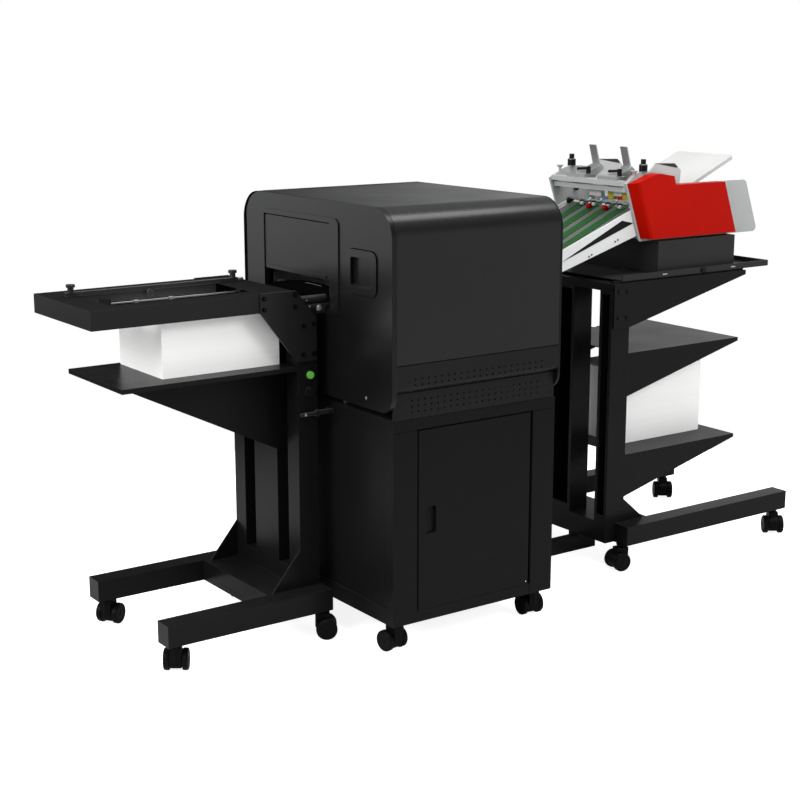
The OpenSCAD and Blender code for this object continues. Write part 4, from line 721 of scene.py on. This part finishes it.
# A dark plate on each rail paints the shade in the gap between its strips.
bm = bmesh.new()
for y, out in RAIL_FACES:
    add_plate(bm, [(x, y, z) for x, z in RAIL_GAP_SHADE], (0, out * RAIL_SHADE_THICK, 0))
make_piece("rail_gap_shade", bm, finish["black_plastic"], "feeder")
bm = bmesh.new()
for y, out in RAIL_FACES:
    for x, z in ((1030, 1072), (1042, 1077.3), (1146, 1114), (1158, 1119.3)):
        add_turned(bm, SOCKET_SCREW, spot(x, y, z), (0, out, 0), 16)
make_piece("rail_screws", bm, finish["latch_steel"], "feeder")

# %% [markdown]
# The carriage slides on rails along the table. Its front edge shows two zinc slot covers and the black
# stop between the two rail lengths.

# %% Carriage slots and stop
SLOT_HALF = 11
bm = bmesh.new()
for x in (1305, 1637):
    add_block(bm, (x - SLOT_HALF, 257.2, 998.5), (x + SLOT_HALF, 258.2, 1003), 0.4)
make_piece("carriage_slots", bm, finish["box_sheet"], "feeder")
bm = bmesh.new()
add_block(bm, (1478, 252.5, 992.5), (1500, 258, 1009), 2.0, 3)
make_piece("carriage_stop", bm, finish["black_plastic"], "feeder")

# %% [markdown]
# In the output slot a curved deflector bends the sheet down into the tray. A bent profile spun through a
# few degrees about a far axis makes the gentle arch, and solidify gives the sheet its thickness. Bright
# steel strips on parts of its edge paint the highlight that the edge catches there.

# %% Output deflector
ARCH, ARCH_Y, ARCH_TOP = 1250, 415, 1058
BENT = [(-15, -30), (-11, -10), (-4, 0), (16, 2)]
HIGHLIGHT_EDGE = [(-4.8, 0.4), (-4.2, 1.2), (-3.2, 1.4), (-3.6, 0.6), (-4.8, 0.4)]


def add_arch(bm, profile, y0, y1, steps):
    axis_point = spot(0, ARCH_Y, ARCH_TOP - ARCH)
    start, end = (math.asin((y - ARCH_Y) / ARCH) for y in (y0, y1))
    turned = Matrix.Rotation(-start, 4, "X")
    first = [bm.verts.new(axis_point + turned @ Vector((x, 0, ARCH + rise)) / MM) for x, rise in profile]
    rims = [bm.edges.new(pair) for pair in zip(first, first[1:])]
    bmesh.ops.spin(
        bm, geom=first + rims, cent=axis_point, axis=RIGHT, dvec=(0, 0, 0), angle=start - end, steps=steps
    )
    bmesh.ops.recalc_face_normals(bm, faces=bm.faces)


bm = bmesh.new()
add_arch(bm, BENT, 300, 660, 28)
bmesh.ops.solidify(bm, geom=list(bm.faces), thickness=0.0012)
make_piece("output_deflector", bm, black_and_shade, "machine")
# Bright steel strips on parts of the edge paint its highlight.
bm = bmesh.new()
for y0, y1 in ((301, 322), (364, 455)):
    add_arch(bm, HIGHLIGHT_EDGE, y0, y1, 8)
make_piece("deflector_highlight", bm, finish["gate_steel"], "machine")

# %% [markdown]
# Between the stacker's plate and the slot lie a round guide bar and a grey docking block with one large
# screw.

# %% Guide bar and docking block
BLOCK_FRONT, BLOCK_BACK = 319, 345
GUIDE_BAR = [(0, -104), (10, -104), (12, -102), (12, 7), (11, 8), (0, 8)]
LARGE_SCREW = [(0, 2.4), (2.2, 2.4), (2.6, 3.4), (5.4, 3.0), (6, 1.2), (9.4, 1.0), (9.8, 0), (0, 0)]
SMALL_SCREW = [(0, 1.4), (2.2, 1.4), (2.8, 0.6), (2.8, 0), (0, 0)]
bm = bmesh.new()
add_turned(bm, GUIDE_BAR, spot(0, 333, 1028), RIGHT, 32)
make_piece("guide_bar", bm, finish["latch_steel"], "machine")
bm = bmesh.new()
add_block(bm, (-80, BLOCK_FRONT, 1000.6), (-4, BLOCK_BACK, 1015), 2.0, 3)
add_block(bm, (-53, BLOCK_FRONT, 987), (-21.5, BLOCK_BACK, 1003), 2.0, 3)
make_piece("docking_block", bm, base_grey, "machine")
bm = bmesh.new()
add_turned(bm, LARGE_SCREW, spot(-42, BLOCK_FRONT, 1003), FRONT)
for x, y, z in ((-83, 321.4, 1027), (-74, BLOCK_FRONT, 1009)):
    add_turned(bm, SMALL_SCREW, spot(x, y, z), FRONT, 16)
make_piece("docking_screws", bm, finish["gate_steel"], "machine")

# %% [markdown]
# The plates are held by black cap screws. A zinc screw holds the end panel's lower corner, another the
# latch, and a small flat one the door's lower corner beside its hinge.

# %% Cap screws and zinc screws
PANEL_FACE = -16
PLATE_FACES = ((309, -1), (706, 1))
PLATE_HOLES = (
    (-234, 1047), (-234, 1015), (-131, 1050), (-131, 1015), (-103, 956), (-68, 959), (-105, 871), (-68, 871)
)
CAP_SCREW = [(0, 2.6), (2.6, 2.6), (3, 4.6), (5.8, 4.6), (6.4, 4), (6.4, 0), (0, 0)]
ZINC_SCREW = [(0, 2.2), (2.6, 2.2), (4.2, 1.6), (4.6, 0.6), (4.6, 0), (0, 0)]
FLAT_SCREW = [(0, 0.6), (1.8, 0.6), (2.4, 0.2), (2.4, 0), (0, 0)]
bm = bmesh.new()
for x, z in PLATE_HOLES:
    for y, out in PLATE_FACES:
        add_turned(bm, CAP_SCREW, spot(x, y, z), (0, out, 0), 20)
make_piece("plate_screws", bm, black_and_shade, "machine")
bm = bmesh.new()
add_turned(bm, ZINC_SCREW, spot(PANEL_FACE, 113, 766), LEFT, 20)
make_piece("panel_screw", bm, finish["gate_steel"], "machine")
bm = bmesh.new()
add_turned(bm, ZINC_SCREW, spot(-99, 306, 690), FRONT, 20)
make_piece("latch_screw", bm, finish["gate_steel"], "latch")
bm = bmesh.new()
add_turned(bm, FLAT_SCREW, spot(498, 0, 141), FRONT, 20)
make_piece("door_screw", bm, finish["gate_steel"], "door")

# %% [markdown]
# Black strips paint the shade in the joints: along the end panel's rear edge, where its rounded edge
# mirrors the dark room and the strip widens down from the roof, under the hood's lower edge on the pierced
# strip, and in the gap round the door. Seen from afar these painted shade lines draw the machine.

# %% Painted shade lines
REAR, ROOF, CORNER_R, CORNER_STEPS = 800, 1315, 88, 12
SHADE_LOW, SHADE_WIDE, SHADE_NARROW, SHADE_STRIP_T = 790, 18, 3, 0.5
DOOR_LEFT, DOOR_RIGHT, DOOR_LOW, DOOR_TOP, DOOR_SHADE_W = 85, 515, 131, 680, 2.8


def rear_point(angle, inward):
    reach = CORNER_R - inward
    return PANEL_FACE, REAR - CORNER_R + reach * math.cos(angle), ROOF - CORNER_R + reach * math.sin(angle)


# This band paints the dark reflection on the end panel's rounded rear edge.
pairs = [((PANEL_FACE, REAR, SHADE_LOW), (PANEL_FACE, REAR - SHADE_WIDE, SHADE_LOW))]
for step in range(CORNER_STEPS + 1):
    angle = math.radians(90 * step / CORNER_STEPS)
    width = SHADE_WIDE - (SHADE_WIDE - SHADE_NARROW) * step / CORNER_STEPS
    pairs.append((rear_point(angle, 0), rear_point(angle, width)))
bm = bmesh.new()
add_band(bm, pairs, (-SHADE_STRIP_T, 0, 0))
# This strip paints the shadow of the hood's lower edge on the pierced strip.
add_block(bm, (1, -17.9, 874.1), (593, -15.5, 876.8), 0.2)
# These three strips paint the shadow in the gap round the door.
add_block(bm, (DOOR_LEFT, -0.6, DOOR_TOP - DOOR_SHADE_W), (DOOR_RIGHT, 0.4, DOOR_TOP), 0.2)
for x in (DOOR_LEFT, DOOR_RIGHT - DOOR_SHADE_W):
    add_block(bm, (x, -0.6, DOOR_LOW), (x + DOOR_SHADE_W, 0.4, DOOR_TOP), 0.2)
make_piece("painted_shade_lines", bm, black_and_shade, "machine")

# %% [markdown]
# Thin dark strips paint the shade in the seams where the cabinet's upper rail meets the two posts beside
# the door, and a thin dark band paints the shadow gap round the frame of the end panel's pocket. The band
# goes round the four corners in turn, each a quarter of a circle.

# %% Seam shade and pocket gap shade
RAIL_SEAM, POST_SEAM = (677.4, 678.6), (513, 514.2)
SEAM_FRONT, SEAM_BACK = -0.2, 0.3
POCKET_LOW, POCKET_HIGH, POCKET_R, POCKET_SHADE_W, POCKET_SHADE_STEPS = (55, 1061), (201, 1189), 24, 2.5, 7
# Dark strips paint the shade in the seams of the rail and the post.
bm = bmesh.new()
for x0, x1 in ((1, 84.8), (515.2, 599)):
    add_block(bm, (x0, SEAM_FRONT, RAIL_SEAM[0]), (x1, SEAM_BACK, RAIL_SEAM[1]), 0)
add_block(bm, (POST_SEAM[0], SEAM_FRONT, 98), (POST_SEAM[1], SEAM_BACK, 130.8), 0)
make_piece("seam_shade_lines", bm, black_and_shade, "machine")
# A dark band paints the shadow gap round the pocket's frame.
pairs = []
for corner in range(4):
    y = POCKET_HIGH[0] - POCKET_R if corner in (0, 3) else POCKET_LOW[0] + POCKET_R
    z = POCKET_HIGH[1] - POCKET_R if corner in (0, 1) else POCKET_LOW[1] + POCKET_R
    for step in range(POCKET_SHADE_STEPS + 1):
        angle = (corner + step / POCKET_SHADE_STEPS) * math.pi / 2
        radii = (POCKET_R + 0.1, POCKET_R + POCKET_SHADE_W)
        pairs.append([(PANEL_FACE, y + r * math.cos(angle), z + r * math.sin(angle)) for r in radii])
bm = bmesh.new()
add_band(bm, pairs, (-SHADE_STRIP_T, 0, 0), closed=True)
make_piece("pocket_gap_shade", bm, black_and_shade, "machine")

# %% [markdown]
# Each caster's two wheels are closed by a turned cap with a raised ring. The caps ride with their wheel,
# so they turn and swivel with it. The wheel's joint gives the centre and the axle.

# %% Caster caps
CAP_OUT = 0.036
CAP = [(0, 0.5), (8.5, 0.5), (9.5, 0.1), (10.5, -0.4), (0, -0.4)]
RING = [(19, -0.4), (19.6, 0.3), (21, 0.6), (23, 0.6), (24.4, 0.3), (25, -0.4)]
for joint in frame["joints"]:
    wheel = joint["child"]
    if not wheel.startswith("wheel_"):
        continue
    centre, axle = Vector(joint["pos_m"]), Vector(joint["axis"]).normalized()
    bm = bmesh.new()
    for side in (1, -1):
        add_turned(bm, CAP, centre + axle * side * CAP_OUT, axle * side, 24)
        add_turned(bm, RING, centre + axle * side * CAP_OUT, axle * side, 32)
    make_piece("caster_caps_" + wheel.split("_")[1], bm, finish["caster_body"], wheel)

# %% [markdown]
# Inside, the upper roller carries the pins that press the dots. A few hundred small cones in rows are
# enough; each has only a few faces, because they are repeated so often.

# %% Embossing pins
PIN_ROWS, PINS_IN_ROW, FIRST_PIN, PIN_STEP, PIN_REACH = 24, 26, 302, 14.4, 0.0584
hub = spot(300, 0, 1065)
bm = bmesh.new()
for row in range(PIN_ROWS):
    turn = Matrix.Rotation(row * math.tau / PIN_ROWS, 4, "Y") @ Matrix.Translation((0, 0, PIN_REACH))
    for step in range(PINS_IN_ROW):
        along = Matrix.Translation((hub.x, spot(0, FIRST_PIN + step * PIN_STEP, 0).y, hub.z))
        bmesh.ops.create_cone(
            bm, cap_ends=True, segments=6, radius1=0.0016, radius2=0.0006, depth=0.0012, matrix=along @ turn
        )
make_piece("emboss_pins", bm, bright_steel, "emboss", smooth=60)

# %% [markdown]
# A black sheet behind the skirt's vent holes paints the shade inside them, so that no light shows through
# them. Behind the door, the power box has a fan guard of rings on four spokes. At the back, the cabinet
# breathes through two columns of louvres.

# %% Vent shade sheet, fan guard and louvres
FAN_X, FAN_Z = 300, 255
LOUVRE_HALF, LOUVRE_LOW, LOUVRE_H, LOUVRE_STEP = 60, 520, 9, 22
# A black sheet behind the vent holes paints the shade inside them.
bm = bmesh.new()
add_block(bm, (16, -2.2, 800), (578, -0.1, 864), 0.4)
make_piece("vent_shade_sheet", bm, finish["roller_rubber"], "machine")
bm = bmesh.new()
for r in (14, 24, 34, 44):
    ring = [(r - 1, 1), (r, 2), (r + 1, 1), (r, 0), (r - 1, 1)]
    add_turned(bm, ring, spot(FAN_X, 511, FAN_Z), FRONT, 40)
for turn in range(4):
    spoke = Matrix.Rotation(math.radians(45 + 90 * turn), 4, "Y")
    middle = Matrix.Translation(spot(FAN_X, 509.6, FAN_Z)) @ spoke @ Matrix.Translation((0.024, 0, 0))
    bmesh.ops.create_cube(bm, size=1, matrix=middle @ Matrix.Diagonal((0.048, 0.0016, 0.003, 1)))
make_piece("fan_guard", bm, bright_steel, "machine")
bm = bmesh.new()
for x in (180, 420):
    for row in range(7):
        low = LOUVRE_LOW + row * LOUVRE_STEP
        add_block(bm, (x - LOUVRE_HALF, 779.6, low), (x + LOUVRE_HALF, 785, low + LOUVRE_H), 3.5, 4)
make_piece("back_louvres", bm, finish["cabinet_paint"], "machine")

# %% [markdown]

# %% Done
print("dressing done")
